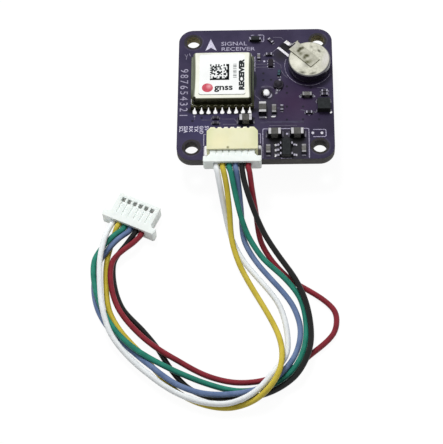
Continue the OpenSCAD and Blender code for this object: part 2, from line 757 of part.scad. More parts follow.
module lead(y) {
    x = regulator_w / 2;
    z = 0.6;
    translate([x, y + lead_w / 2, 0]) rotate([90, 0, 0]) linear_extrude(lead_w)
        polygon([[0, z - lead_t / 2], [0.14, z - lead_t / 2], [0.22, 0], [lead_reach, 0],
            [lead_reach, lead_t], [0.34, lead_t], [0.26, z + lead_t / 2], [0, z + lead_t / 2]]);
}

module at_leads() {
    translate([regulator_at[0], regulator_at[1], top]) {
        for (i = [-1, 1]) translate([0, i * lead_pitch, 0]) children();
        for (i = [-1, 0, 1]) rotate([0, 0, 180]) translate([0, i * lead_pitch, 0]) children();
    }
}

module regulator_leads() {
    color("silver") at_leads() lead(0);
}

module regulator_joints() {
    color("white") at_leads() translate([regulator_w / 2 + lead_reach, 0, 0])
        fillet_bar([0.25, lead_w, 0.9 * lead_t]);
}

module sensor_chip() {
    color("#26282b") translate([sensor_at[0], sensor_at[1], top]) plate(sensor_w, sensor_d, sensor_h, 0.06);
}

module sensor_joints() {
    pad_y = 0.4 * sensor_d;
    color("white") translate([sensor_at[0], sensor_at[1], top]) for (side = [0, 180], y = [-pad_y, pad_y])
        rotate([0, 0, side]) translate([sensor_w / 2, y, 0]) fillet_bar(sensor_fillet);
}

module amplifier_chip() {
    color("#1f1d24") translate([amplifier_at[0], amplifier_at[1], top])
        plate(amplifier_w, amplifier_l, amplifier_h, 0.04);
}

module amplifier_joints() {
    color("white") translate([amplifier_at[0], amplifier_at[1], top]) for (side = [0, 180], i = [-1, 0, 1])
        rotate([0, 0, side]) translate([amplifier_w / 2, i * amplifier_pitch, 0])
        fillet_bar(amplifier_fillet);
}

module diode_body() {
    color("#222226") translate([diode_at[0], diode_at[1], top])
        chip_core(diode_l, diode_w, diode_h, diode_end);
}

module diode_terminals() {
    color("silver") translate([diode_at[0], diode_at[1], top])
        chip_ends(diode_l, 0.6 * diode_w, 0.8 * diode_h, diode_end);
}

// Wound choke under a domed ferrite cap
module choke_body() {
    dome_h = choke_h - choke_base_h;
    color("#2a2a2e") at_chips([choke_at]) {
        plate(choke_body_l, choke_w, choke_base_h, 0.4);
        translate([0, 0, choke_base_h])
            cylinder(d1 = choke_dome_d, d2 = 0.9 * choke_dome_d, h = 0.4 * dome_h);
        translate([0, 0, choke_base_h + 0.4 * dome_h])
            cylinder(d1 = 0.9 * choke_dome_d, d2 = 0.5 * choke_dome_d, h = 0.6 * dome_h);
    }
}

module choke_terminals() {
    color("silver") at_chips([choke_at])
        chip_ends(choke_l, choke_end_w, 0.15, (choke_l - choke_body_l) / 2);
}

module coil_body() {
    color("#1d5560") at_chips([coil_at]) chip_core(small_l, small_w, 0.5, small_end);
}

module coil_terminals() {
    color("silver") at_chips([coil_at]) chip_ends(small_l, small_w, 0.5, small_end);
}

module large_capacitors() {
    color("#6f6a5f") at_chips(large_at) chip_core(large_l, large_w, large_w, large_end);
}

module large_capacitor_ends() {
    color("#d5d5cc") at_chips(large_at) chip_ends(large_l, large_w, large_w, large_end);
}

module medium_capacitors() {
    color("#8a8578") at_chips(medium_at) chip_core(medium_l, medium_w, medium_w, medium_end);
}

module medium_capacitor_ends() {
    color("#d5d5cc") at_chips(medium_at) chip_ends(medium_l, medium_w, medium_w, medium_end);
}

module small_capacitors() {
    color("#a59a7d") at_chips(small_capacitor_at) chip_core(small_l, small_w, small_w, small_end);
}

module small_resistors() {
    color("#1c1c20") at_chips(small_resistor_at) chip_core(small_l, small_w, small_h, small_end);
}

module small_part_ends() {
    color("#d5d5cc") {
        at_chips(small_capacitor_at) chip_ends(small_l, small_w, small_w, small_end);
        at_chips(small_resistor_at) chip_ends(small_l, small_w, small_h, small_end);
    }
}

// Solder at the ends of every chip part
module chip_joints() {
    color("white") {
        at_chips(large_at) chip_fillets(large_l, large_w, large_w);
        at_chips(medium_at) chip_fillets(medium_l, medium_w, medium_w);
        at_chips(small_capacitor_at) chip_fillets(small_l, small_w, small_w);
        at_chips(small_resistor_at) chip_fillets(small_l, small_w, small_h);
        at_chips([coil_at]) chip_fillets(small_l, small_w, small_w);
        at_chips([choke_at]) chip_fillets(choke_l, choke_end_w, 0.24);
        translate([diode_at[0], diode_at[1], top]) chip_fillets(diode_l, 0.6 * diode_w, 0.35);
    }
}

module bare_pads() {
    color("white") for (p = bare_pad_at) translate([p[0], p[1], top]) plate(0.45, 0.5, 0.08, 0.2);
}

circuit_board();
tape_pad();
ground_foil();
patch_ceramic();
radiator_foil();
feed_pin();
feed_joint();
module_base();
shield_can();
module_label();
module_joints();
receiver_chip();
reference_crystal();
input_filter();
header_housing();
header_contacts();
header_tabs();
header_joints();
board_plug_housing();
board_plug_terminals();
white_wire();
yellow_wire();
green_wire();
blue_wire();
black_wire();
red_wire();
free_plug_housing();
free_plug_terminals();
cell_can();
cell_gasket();
cell_cap();
cell_top_tab();
cell_base_tab();
cell_joints();
regulator_body();
regulator_leads();
regulator_joints();
sensor_chip();
sensor_joints();
amplifier_chip();
amplifier_joints();
diode_body();
diode_terminals();
choke_body();
choke_terminals();
coil_body();
coil_terminals();
large_capacitors();
large_capacitor_ends();
medium_capacitors();
medium_capacitor_ends();
small_capacitors();
small_resistors();
small_part_ends();
chip_joints();
bare_pads();
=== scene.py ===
import math

import bmesh
import bpy
from mathutils import Matrix, Vector


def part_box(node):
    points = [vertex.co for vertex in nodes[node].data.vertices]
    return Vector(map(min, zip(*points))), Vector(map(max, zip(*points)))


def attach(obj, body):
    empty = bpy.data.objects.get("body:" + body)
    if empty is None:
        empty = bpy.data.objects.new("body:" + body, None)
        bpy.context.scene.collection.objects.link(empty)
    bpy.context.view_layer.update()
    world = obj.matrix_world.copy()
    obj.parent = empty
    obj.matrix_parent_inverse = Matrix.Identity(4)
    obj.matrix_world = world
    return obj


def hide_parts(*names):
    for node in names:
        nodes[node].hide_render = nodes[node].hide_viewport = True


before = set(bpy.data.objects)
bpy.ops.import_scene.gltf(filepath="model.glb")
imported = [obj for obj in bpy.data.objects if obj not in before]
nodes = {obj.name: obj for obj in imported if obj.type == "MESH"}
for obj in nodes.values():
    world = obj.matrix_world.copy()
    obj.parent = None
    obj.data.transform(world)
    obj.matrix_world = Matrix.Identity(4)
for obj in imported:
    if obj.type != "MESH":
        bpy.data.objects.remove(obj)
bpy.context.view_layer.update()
root = "root"
mm = 0.001
boardTop = 5.8  # height of the board's upper face, in mm as all the sizes below
holeAt = 10.15  # how far each mounting hole is from the board's middle lines
print("frame loaded:", len(nodes), "nodes")


def linear(colour, alpha=1.0):
    parts = [int(colour[i:i + 2], 16) / 255 for i in (1, 3, 5)]
    return [c / 12.92 if c <= 0.04045 else ((c + 0.055) / 1.055) ** 2.4 for c in parts] + [alpha]


def addNode(tree, kind, settings=None, links=None):
    # settings hold sockets by name or number, the stops of a colour ramp, or values of the node itself
    node = tree.nodes.new(kind)
    for key, value in (settings or {}).items():
        if key == "stops":
            while len(node.color_ramp.elements) < len(value):
                node.color_ramp.elements.new(0.5)
            for element, (place, tone) in zip(node.color_ramp.elements, value):
                element.position = place
                element.color = linear(tone) if isinstance(tone, str) else (tone, tone, tone, 1)
        elif isinstance(key, int) or key in node.inputs:
            node.inputs[key].default_value = value
        else:
            setattr(node, key, value)
    for key, source in (links or {}).items():
        tree.links.new(source, node.inputs[key])
    return node


def newMaterial(name, **sockets):
    material = bpy.data.materials.new(name)
    material.use_nodes = True
    tree = material.node_tree
    shader = tree.nodes["Principled BSDF"]
    for key, value in sockets.items():
        shader.inputs[key.replace("_", " ")].default_value = value
    where = addNode(tree, "ShaderNodeTexCoord")
    return material, tree, shader, where


def newObject(name, data):
    thing = bpy.data.objects.new(name, data)
    bpy.context.scene.collection.objects.link(thing)
    return thing


def paint(material, *names):
    for name in names:
        piece = nodes[name] if isinstance(name, str) else name
        piece.data.materials.clear()
        piece.data.materials.append(material)


view = {"focalPixels": 1620, "frameHeight": 444, "elevation": 60.56, "roll": -4.22, "yaw": 4.13,
        "lookAt": (-5.27, -23.71, boardTop), "distance": 248.9, "sensor": 36, "clip": (0.01, 10)}


def placeCamera():
    elevation, roll, yaw = (math.radians(view[k]) for k in ("elevation", "roll", "yaw"))
    away = math.cos(elevation)
    back = Vector((math.sin(yaw) * away, -math.cos(yaw) * away, math.sin(elevation)))
    level = Vector((math.cos(yaw), math.sin(yaw), 0))
    upright = back.cross(level)
    right = math.cos(roll) * level + math.sin(roll) * upright
    up = math.cos(roll) * upright - math.sin(roll) * level
    data = bpy.data.cameras.new("photoCamera")
    data.sensor_width = view["sensor"]
    data.lens = view["focalPixels"] / view["frameHeight"] * view["sensor"]
    data.clip_start, data.clip_end = view["clip"]
    camera = newObject("photoCamera", data)
    place = Matrix((right, up, back)).transposed().to_4x4()
    place.translation = (Vector(view["lookAt"]) + back * view["distance"]) * mm
    camera.matrix_world = place
    bpy.context.scene.camera = camera


placeCamera()

# where the two plugs hold the wires; each wire starts seat mm inside one and leaves it by a straight stub
plugs = {"pitch": 1.0, "middleWay": 2.5, "boardAt": (-3.6, -14.3, 7.3), "freeAt": (-20.2, -21.9, 1.3),
         "freeTurn": -25, "seat": 1.8, "boardStub": -0.6, "freeStub": -0.8}
lead = {"diameter": 0.88, "restZ": 0.45, "subdivisions": 3, "length": 92, "roundness": 4}
routes = {
    "white": [(-5.9, -15.7, 7.1), (-5.5, -17.6, 5.7), (-4.8, -20.6, 2.9), (-3.8, -24.1, 0.9),
        (-1.9, -27.9, 0.5), (0.8, -31.5, 0.5), (3.3, -35.1, 0.5), (4.5, -39.3, 0.5), (4.5, -43.6, 0.7),
        (2.6, -47.3, 2.5), (-0.3, -50.6, 2.5), (-4.2, -52.1, 1.8), (-8.6, -51.6, 1.5), (-12.6, -49.8, 1.4),
        (-16.1, -47.2, 1.4), (-19.3, -44.2, 1.4), (-22, -40.7, 1.9), (-23.4, -36.6, 2.4), (-24, -32.3, 2.4),
        (-24.1, -27.9, 2.7), (-23.4, -24, 2.6)],
    "yellow": [(-4.9, -15.7, 7.1), (-4.5, -17.6, 5.9), (-4.1, -21, 3.9), (-3.8, -24.7, 2),
        (-2.6, -28.7, 1.2), (-0.7, -32.5, 0.7), (1.4, -36.3, 0.5), (3.2, -40.4, 0.9), (3.8, -44.7, 2.6),
        (2.9, -48.6, 3.2), (0.1, -51.4, 2), (-3.8, -52.4, 0.8), (-8, -51.7, 0.5), (-11.8, -49.7, 0.5),
        (-14.8, -46.6, 0.5), (-17.5, -43.3, 0.5), (-20.4, -40, 0.5), (-22.5, -36.3, 0.5),
        (-23.2, -32.1, 0.5), (-23.3, -27.7, 0.5), (-22.5, -23.7, 0.5)],
    "green": [(-3.8, -15.7, 7.15), (-3.4, -17.6, 6.2), (-2.5, -21.1, 4.1), (-1.2, -24.3, 2.2),
        (1.1, -27.7, 1.1), (4, -30.8, 1.2), (6.6, -34.3, 0.8), (7.5, -38.6, 0.5), (7.1, -43.1, 1.3),
        (5.2, -46.8, 1.3), (1.7, -48.9, 0.5), (-2.6, -49.6, 0.5), (-6.8, -48.7, 0.7), (-10.8, -47.3, 1.3),
        (-14.6, -45.5, 1.7), (-18.3, -43.2, 2), (-21.4, -39.9, 1.4), (-23.6, -36.1, 1.4),
        (-24.9, -32.1, 1.6), (-25, -27.7, 1.7), (-22.6, -24, 1.7)],
    "blue": [(-2.9, -15.7, 7), (-2.6, -17.6, 5.3), (-2.3, -20.6, 2.9), (-1.9, -24.3, 1), (0.1, -28.1, 0.5),
        (2.7, -31.5, 0.5), (5.3, -35.1, 0.5), (6.6, -39.2, 0.5), (6, -43.4, 0.9), (3.9, -47, 1.7),
        (0.5, -49.5, 1.4), (-3.8, -50.5, 1.5), (-8.2, -50.3, 1.5), (-12.2, -48.7, 1.5), (-15.7, -46, 1.5),
        (-18.9, -43, 0.9), (-21.9, -39.9, 0.5), (-24.2, -36.2, 0.5), (-25.1, -31.9, 0.5),
        (-24.3, -27.8, 1.1), (-21.8, -24.4, 1.5)],
    "black": [(-2, -15.7, 7.15), (-1.6, -17.6, 6.5), (-0.3, -21.2, 4.9), (1.4, -24.7, 3.3),
        (3.7, -28.1, 2.1), (5.9, -31.5, 1.8), (7.5, -35.4, 1.6), (8.2, -39.8, 1.4), (7.8, -43.9, 1.9),
        (5.8, -47.6, 1.6), (2.3, -49.8, 0.8), (-1.8, -50.8, 0.5), (-6, -50.8, 0.5), (-10, -49.2, 0.5),
        (-12.8, -46.1, 0.5), (-15, -42.5, 0.5), (-17.6, -39.2, 0.5), (-20.4, -36, 0.5), (-21.9, -32.1, 0.5),
        (-22.2, -27.8, 0.5), (-20.5, -25, 0.8)],
    "red": [(-0.9, -15.7, 7), (-0.6, -17.6, 5.5), (0, -20.8, 3.1), (0.7, -24.6, 1.1), (2.8, -28.3, 0.5),
        (5.8, -31.5, 0.5), (9.2, -33.8, 0.5), (11.9, -36.6, 0.5), (11.6, -40.3, 0.5), (8.4, -43.5, 0.5),
        (5, -46.2, 0.5), (1, -47.9, 0.5), (-3.4, -48.2, 0.5), (-7.7, -47, 0.5), (-11.6, -45, 1.1),
        (-15.3, -42.7, 1.5), (-18.5, -39.7, 1.4), (-21.1, -36.1, 1.3), (-22.4, -31.9, 1.3),
        (-22.2, -27.8, 1.4), (-19.4, -25.1, 1.6)],
}


def boardEnd(way, y):
    middle, front, height = plugs["boardAt"]
    return Vector((middle + (way - plugs["middleWay"]) * plugs["pitch"], front + y, height))


def freeEnd(way, y):
    turn = Matrix.Rotation(math.radians(plugs["freeTurn"]), 3, "Z")
    return turn @ Vector(((way - plugs["middleWay"]) * plugs["pitch"], y, 0)) + Vector(plugs["freeAt"])


def smoothRoute(points):
    # each pass keeps every point and adds one between each pair, on a cubic through four of them
    for _ in range(lead["subdivisions"]):
        finer = []
        for i, b in enumerate(points[:-1]):
            c = points[i + 1]
            a = points[i - 1] if i > 0 else 2 * b - c
            d = points[i + 2] if i + 2 < len(points) else 2 * c - b
            middle = (9 * (b + c) - a - d) / 16
            middle.z = max(middle.z, lead["restZ"])
            finer += [b, middle]
        points = finer + [points[-1]]
    return points


def makeWire(way, name, middle):
    fromBoard = [boardEnd(way, y) for y in (plugs["seat"], 0, plugs["boardStub"])]
    toFree = [freeEnd(way, y) for y in (plugs["freeStub"], 0, plugs["seat"])]
    points = smoothRoute(fromBoard + [Vector(p) for p in middle] + toFree)
    curve = bpy.data.curves.new(name + "Wire", "CURVE")
    curve.dimensions = "3D"
    curve.bevel_depth = 1  # each point's own radius gives the thickness
    curve.bevel_resolution = lead["roundness"]
    curve.use_fill_caps = True
    spline = curve.splines.new("POLY")
    spline.points.add(len(points) - 1)
    for point, place in zip(spline.points, points):
        point.co = (*(place * mm), 1)
        point.radius = lead["diameter"] / 2 * mm
    spline.use_smooth = True
    wire = newObject(name + "Wire", curve)
    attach(wire, root)
    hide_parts(name + "_wire")
    return wire


wires = {name: makeWire(way, name, middle) for way, (name, middle) in enumerate(routes.items())}
print("wires made:", len(wires))


def connect(tree, shader, colour=None, gloss=None, height=None, depth=0.0):
    # a finish ends in three sources: its colour, its roughness and a height that is depth mm deep
    if colour:
        tree.links.new(colour, shader.inputs["Base Color"])
    if gloss:
        tree.links.new(gloss, shader.inputs["Roughness"])
    if height:
        bump = addNode(tree, "ShaderNodeBump", {"Distance": depth * mm}, {"Height": height})
        tree.links.new(bump.outputs[0], shader.inputs["Normal"])


def mottled(tree, place, size, detail, stops, tones, lumpy=0.5):
    # clouds about size mm across, and the tones or grades of gloss that they turn into
    clouds = addNode(tree, "ShaderNodeTexNoise", {"Scale": 1 / (size * mm), "Detail": detail, "Roughness": lumpy},
                     {"Vector": place}).outputs[0]
    return addNode(tree, "ShaderNodeValToRGB", {"stops": list(zip(stops, tones))}, {0: clouds}).outputs[0], clouds


def softSpot(tree, where, centre, reach, slant=0, length=1.0):
    # a patch that fades outwards from a place on the board, in mm; length stretches it along the slant
    patch = {"vector_type": "TEXTURE", "Location": (centre[0] * mm, centre[1] * mm, 0),
             "Rotation": (0, 0, math.radians(slant)), "Scale": (reach * length * mm, reach * mm, 1)}
    moved = addNode(tree, "ShaderNodeMapping", patch, {"Vector": where.outputs["Object"]})
    flat = addNode(tree, "ShaderNodeVectorMath", {"operation": "MULTIPLY", 1: (1, 1, 0)}, {0: moved.outputs[0]})
    faded = addNode(tree, "ShaderNodeTexGradient", {"gradient_type": "SPHERICAL"}, {"Vector": flat.outputs[0]})
    return faded.outputs[0]


def stainsAndShade(tree, where, colour, spots):
    # spots of colour: real stains, and also painted light and shade
    # each spot is a centre, a reach, a colour, a strength, and maybe a slant and a length
    for centre, reach, tint, strength, *shape in spots:
        spot = softSpot(tree, where, centre, reach, *shape)
        share = addNode(tree, "ShaderNodeMath", {"operation": "MULTIPLY", 1: strength, "use_clamp": True}, {0: spot})
        colour = addNode(tree, "ShaderNodeMix", {"data_type": "RGBA", 7: linear(tint)},
                         {0: share.outputs[0], 6: colour}).outputs[2]
    return colour


def facing(tree, where, axis, low, high, bothWays=True):
    # 1 on faces that look along an axis and 0 on those across it
    along = addNode(tree, "ShaderNodeSeparateXYZ", links={0: where.outputs["Normal"]}).outputs[axis]
    if bothWays:
        along = addNode(tree, "ShaderNodeMath", {"operation": "ABSOLUTE"}, {0: along}).outputs[0]
    return addNode(tree, "ShaderNodeValToRGB", {"stops": [(low, 0.0), (high, 1.0)]}, {0: along}).outputs[0]


def wallShaded(tree, where, tone, walls, slope):
    # painted light and shade: another tone on the walls, mostly darker, lighter on some parts
    return addNode(tree, "ShaderNodeMix", {"data_type": "RGBA", 6: linear(walls)},
                   {0: facing(tree, where, "Z", *slope), 7: tone}).outputs[2]


def speckled(name, colours, blotch, rough, grain=0.05, depth=0.004, spots=(), walls=None, shine=0.5, **sockets):
    # one finish for cast, moulded, printed and fired surfaces: blotches of colour, uneven gloss and a fine grain
    material, tree, shader, where = newMaterial(name, Specular_IOR_Level=shine, **sockets)
    place = where.outputs["Object"]
    tone, _ = mottled(tree, place, blotch, 3, (0.36, 0.5, 0.64), colours)
    tone = stainsAndShade(tree, where, tone, spots)
    if walls:
        tone = wallShaded(tree, where, tone, walls, (0.4, 0.7))
    gloss, fine = mottled(tree, place, grain, 2, (0.3, 0.7), rough)
    connect(tree, shader, tone, gloss, fine, depth)
    return material


def metal(name, colours, rough, size=0.8, grain=0.05, depth=0.003, along=(1, 1, 1), spots=(), walls=None,
          slope=(0.5, 0.98), sides=None, **sockets):
    # rolled, plated or reflowed metal: tone and gloss wander a little, with a fine grain along the rolling
    material, tree, shader, where = newMaterial(name, **{"Metallic": 1.0, **sockets})
    tone, _ = mottled(tree, where.outputs["Object"], size, 4, (0.35, 0.65), colours)
    if walls:
        tone = wallShaded(tree, where, tone, walls, slope)
    if sides:  # painted shade, greyer where the metal leans to the left or right
        tone = addNode(tree, "ShaderNodeMix", {"data_type": "RGBA", 7: linear(sides)},
                       {0: facing(tree, where, "X", 0.06, 0.6), 6: tone}).outputs[2]
    tone = stainsAndShade(tree, where, tone, spots)
    rolled = addNode(tree, "ShaderNodeMapping", {"Scale": along}, {"Vector": where.outputs["Object"]})
    gloss, lines = mottled(tree, rolled.outputs[0], grain, 3, (0.3, 0.7), rough)
    connect(tree, shader, tone, gloss, lines, depth)
    return material


def mask(name, film, wall=("#322c3f", "#322c3f"), spots=(), blotch=4.0, wallSpots=()):
    # liquid solder mask over glass laminate: a thin film that the cloth under it quilts slightly, with stains and
    # painted shadow on its upward side only, with bare routed laminate, striped by its glass layers, on the walls
    material, tree, shader, where = newMaterial(name, IOR=1.5, Specular_IOR_Level=0.2)
    place = where.outputs["Object"]
    plain, _ = mottled(tree, place, blotch, 5, (0.38, 0.5, 0.62), film, 0.62)
    isUpper = facing(tree, where, "Z", 0.4, 0.7, False)
    tone = addNode(tree, "ShaderNodeMix", {"data_type": "RGBA"},
                   {0: isUpper, 6: plain, 7: stainsAndShade(tree, where, plain, spots)}).outputs[2]
    layered = addNode(tree, "ShaderNodeMapping", {"Scale": (0.048, 0.048, 1)}, {"Vector": place})
    laminate, _ = mottled(tree, layered.outputs[0], 0.12, 2, (0.35, 0.65), wall)
    laminate = stainsAndShade(tree, where, laminate, wallSpots)
    isFilm = facing(tree, where, "Z", 0.4, 0.7)
    colour = addNode(tree, "ShaderNodeMix", {"data_type": "RGBA"}, {0: isFilm, 6: laminate, 7: tone})
    satin, _ = mottled(tree, place, 1.5, 3, (0.3, 0.7), (0.34, 0.5))
    gloss = addNode(tree, "ShaderNodeMix", {"data_type": "RGBA", 6: (0.85, 0.85, 0.85, 1)}, {0: isFilm, 7: satin})
    weave = addNode(tree, "ShaderNodeTexNoise", {"Scale": 1 / (0.45 * mm), "Detail": 2}, {"Vector": place})
    connect(tree, shader, colour.outputs[2], gloss.outputs[2], weave.outputs[0], 0.004)
    return material


def scuffedSteel(name, spots):
    # nickel-plated steel of a cell that has been handled: milky scuffs, dull smears and thin scratches on top,
    # and a smooth drawn side painted dark grey, a painted reflection of the dark board
    material, tree, shader, where = newMaterial(name, Metallic=1.0)
    place = where.outputs["Object"]
    satin, wide = mottled(tree, place, 1.3, 5, (0.35, 0.6), (0.34, 0.5), 0.62)
    narrow = addNode(tree, "ShaderNodeTexNoise", {"Scale": 1 / (0.4 * mm), "Detail": 4, "Roughness": 0.6},
                     {"Vector": place}).outputs[0]
    both = addNode(tree, "ShaderNodeMath", {"operation": "MULTIPLY"}, {0: wide, 1: narrow}).outputs[0]
    tone = addNode(tree, "ShaderNodeValToRGB", {"stops": [(0.13, "#bbbaab"), (0.21, "#d2d1c2"), (0.32, "#e2e1d2")]},
                   {0: both}).outputs[0]
    streaked = addNode(tree, "ShaderNodeMapping", {"Rotation": (0, 0, 0.5), "Scale": (1, 0.063, 0.063)},
                       {"Vector": place})
    scratches, _ = mottled(tree, streaked.outputs[0], 0.09, 2, (0.66, 0.7), (0.0, 0.7))
    tone = addNode(tree, "ShaderNodeMix", {"data_type": "RGBA", 7: linear("#a9a899")},
                   {0: scratches, 6: tone}).outputs[2]
    tone = stainsAndShade(tree, where, tone, spots)
    isTop = facing(tree, where, "Z", 0.78, 0.99)
    colour = addNode(tree, "ShaderNodeMix", {"data_type": "RGBA", 6: linear("#5f5e62")}, {0: isTop, 7: tone})
    gloss = addNode(tree, "ShaderNodeMix", {"data_type": "RGBA", 6: (0.2, 0.2, 0.2, 1)}, {0: isTop, 7: satin})
    connect(tree, shader, colour.outputs[2], gloss.outputs[2], both, 0.02)
    return material


# copper pours under the mask, a darker, greyer patch round the regulator, and painted shadow in front of the
# capacitors, between the module's bells, round the feed's dome, beside the can and by the cell's tabs
poursAndPaintedShade = [
    ((6.2, -2.2), 6.5, "#351e3c", 0.75), ((-8.5, -6.5), 6, "#37355a", 0.6), ((-11.6, 3), 5, "#2c2940", 0.5),
    ((3, 11.2), 5, "#2b2238", 0.6), ((11.5, -6.5), 4.5, "#1f182c", 0.8), ((1.6, -2.8), 2.8, "#33333b", 0.8),
    ((4.9, -10.2), 4.6, "#29282d", 1.7), ((3.1, -8.8), 1.2, "#121113", 1.6, 0, 1.2),
    ((6.7, -8.8), 1.2, "#121113", 1.6, 0, 1.2), ((-1.7, -5.8), 1, "#141316", 1.3, 0, 1.7),
    ((-8.1, -3.25), 0.95, "#0d0c10", 3.2, 0, 3.6), ((-2.6, -3.25), 0.95, "#0d0c10", 3.2, 0, 3.6),
    ((1.7, -0.2), 1.5, "#1c1a22", 2), ((0, 2.4), 0.3, "#1b1e24", 1.8, 90, 7), ((4.9, 8.9), 1.2, "#0f0e11", 2.6),
    ((4.2, 7.4), 1.9, "#221f25", 1.1)]
# the laminate shows paler in the walls of the two back holes
holeWalls = [((x, holeAt), 2.6, "#857f62", 2) for x in (-holeAt, holeAt)]
# a grey smudge on the can's top, painted shade along its rounded side edges and at its front corners, and a paler
# back edge
canSmudgeAndShade = [
    ((-8.1, 6.1), 1, "#c9cac0", 0.6, 0, 1.5), ((-9.85, 2.2), 0.36, "#6f7461", 2.6, 90, 17),
    ((-0.74, 2.2), 0.36, "#666a58", 2.6, 90, 17), ((-5.3, 6.6), 0.4, "#fafbee", 3, 0, 11),
    ((-9.76, -2.25), 0.36, "#2a2b1e", 3), ((-0.82, -2.4), 0.3, "#2a2b1e", 2.5)]
headerTints = [
    ((-7.6, -9.5), 1.6, "#d3d8a7", 0.8, 90, 2), ((0.3, -9.5), 1.5, "#cccea4", 0.9, 90, 2.5),
    ((-5.6, -11), 2.2, "#ece6bd", 0.8), ((-4.28, -12), 0.28, "#77754f", 1.4),
    ((-3.6, -8.2), 0.45, "#eeede2", 1.2, 0, 9)]
# weld smudges and paler patches on the top strip, and a painted highlight where its end bends down
stripSmudgesAndHighlight = [
    ((7, 6.45), 0.42, "#55543f", 1.4), ((7.3, 6.85), 0.42, "#4a4935", 1.5, 40, 1.3),
    ((7.7, 7.05), 0.35, "#5a5942", 1.2), ((7.3, 5.9), 0.5, "#77765f", 1),
    ((8.3, 5.5), 0.42, "#57563f", 1.5, -15, 1.4), ((7.95, 5.15), 0.4, "#66654f", 1.2, 80, 1.3),
    ((8.4, 4.25), 0.5, "#6f6e58", 1.3, 0, 1.3), ((8.45, 4.85), 0.35, "#c9c8b8", 1.1),
    ((8.9, 4.4), 0.5, "#8b8a75", 0.8), ((5.2, 8.75), 1.3, "#fbfafc", 2.5), ((6.3, 7.6), 0.8, "#c9c6c0", 0.8)]
cellSmudges = [
    ((10.3, 6.5), 0.3, "#6f6e62", 1.3, -60, 1.7), ((9.1, 7.3), 0.35, "#8c8b7e", 0.8),
    ((7.55, 2.35), 0.4, "#66655a", 1.1, -10, 1.8), ((9.2, 2.15), 0.32, "#77766a", 1.1, 18, 2.6),
    ((7.9, 3.9), 0.55, "#8f8e84", 1.2, -25, 1.6), ((6.9, 4.2), 1.3, "#f1f0e2", 1.2, -30, 1.3),
    ((10.9, 3.6), 0.9, "#bfbeb2", 0.7, 50, 1.4), ((11.5, 5.2), 0.8, "#dcd9d4", 1.2, 75, 3.2)]
# painted highlights across the coil's teal glass
coilHighlights = [((3.82, 4), 0.3, "#4d6f7c", 1.4), ((3.8, 3.25), 0.28, "#4d6f7c", 1.4)]
laminateRims = [((-0.42, 3.4), 0.5, "#5d6355", 2.5, 90, 9), ((-10.2, 3.4), 0.5, "#757a69", 2.5, 90, 9)]

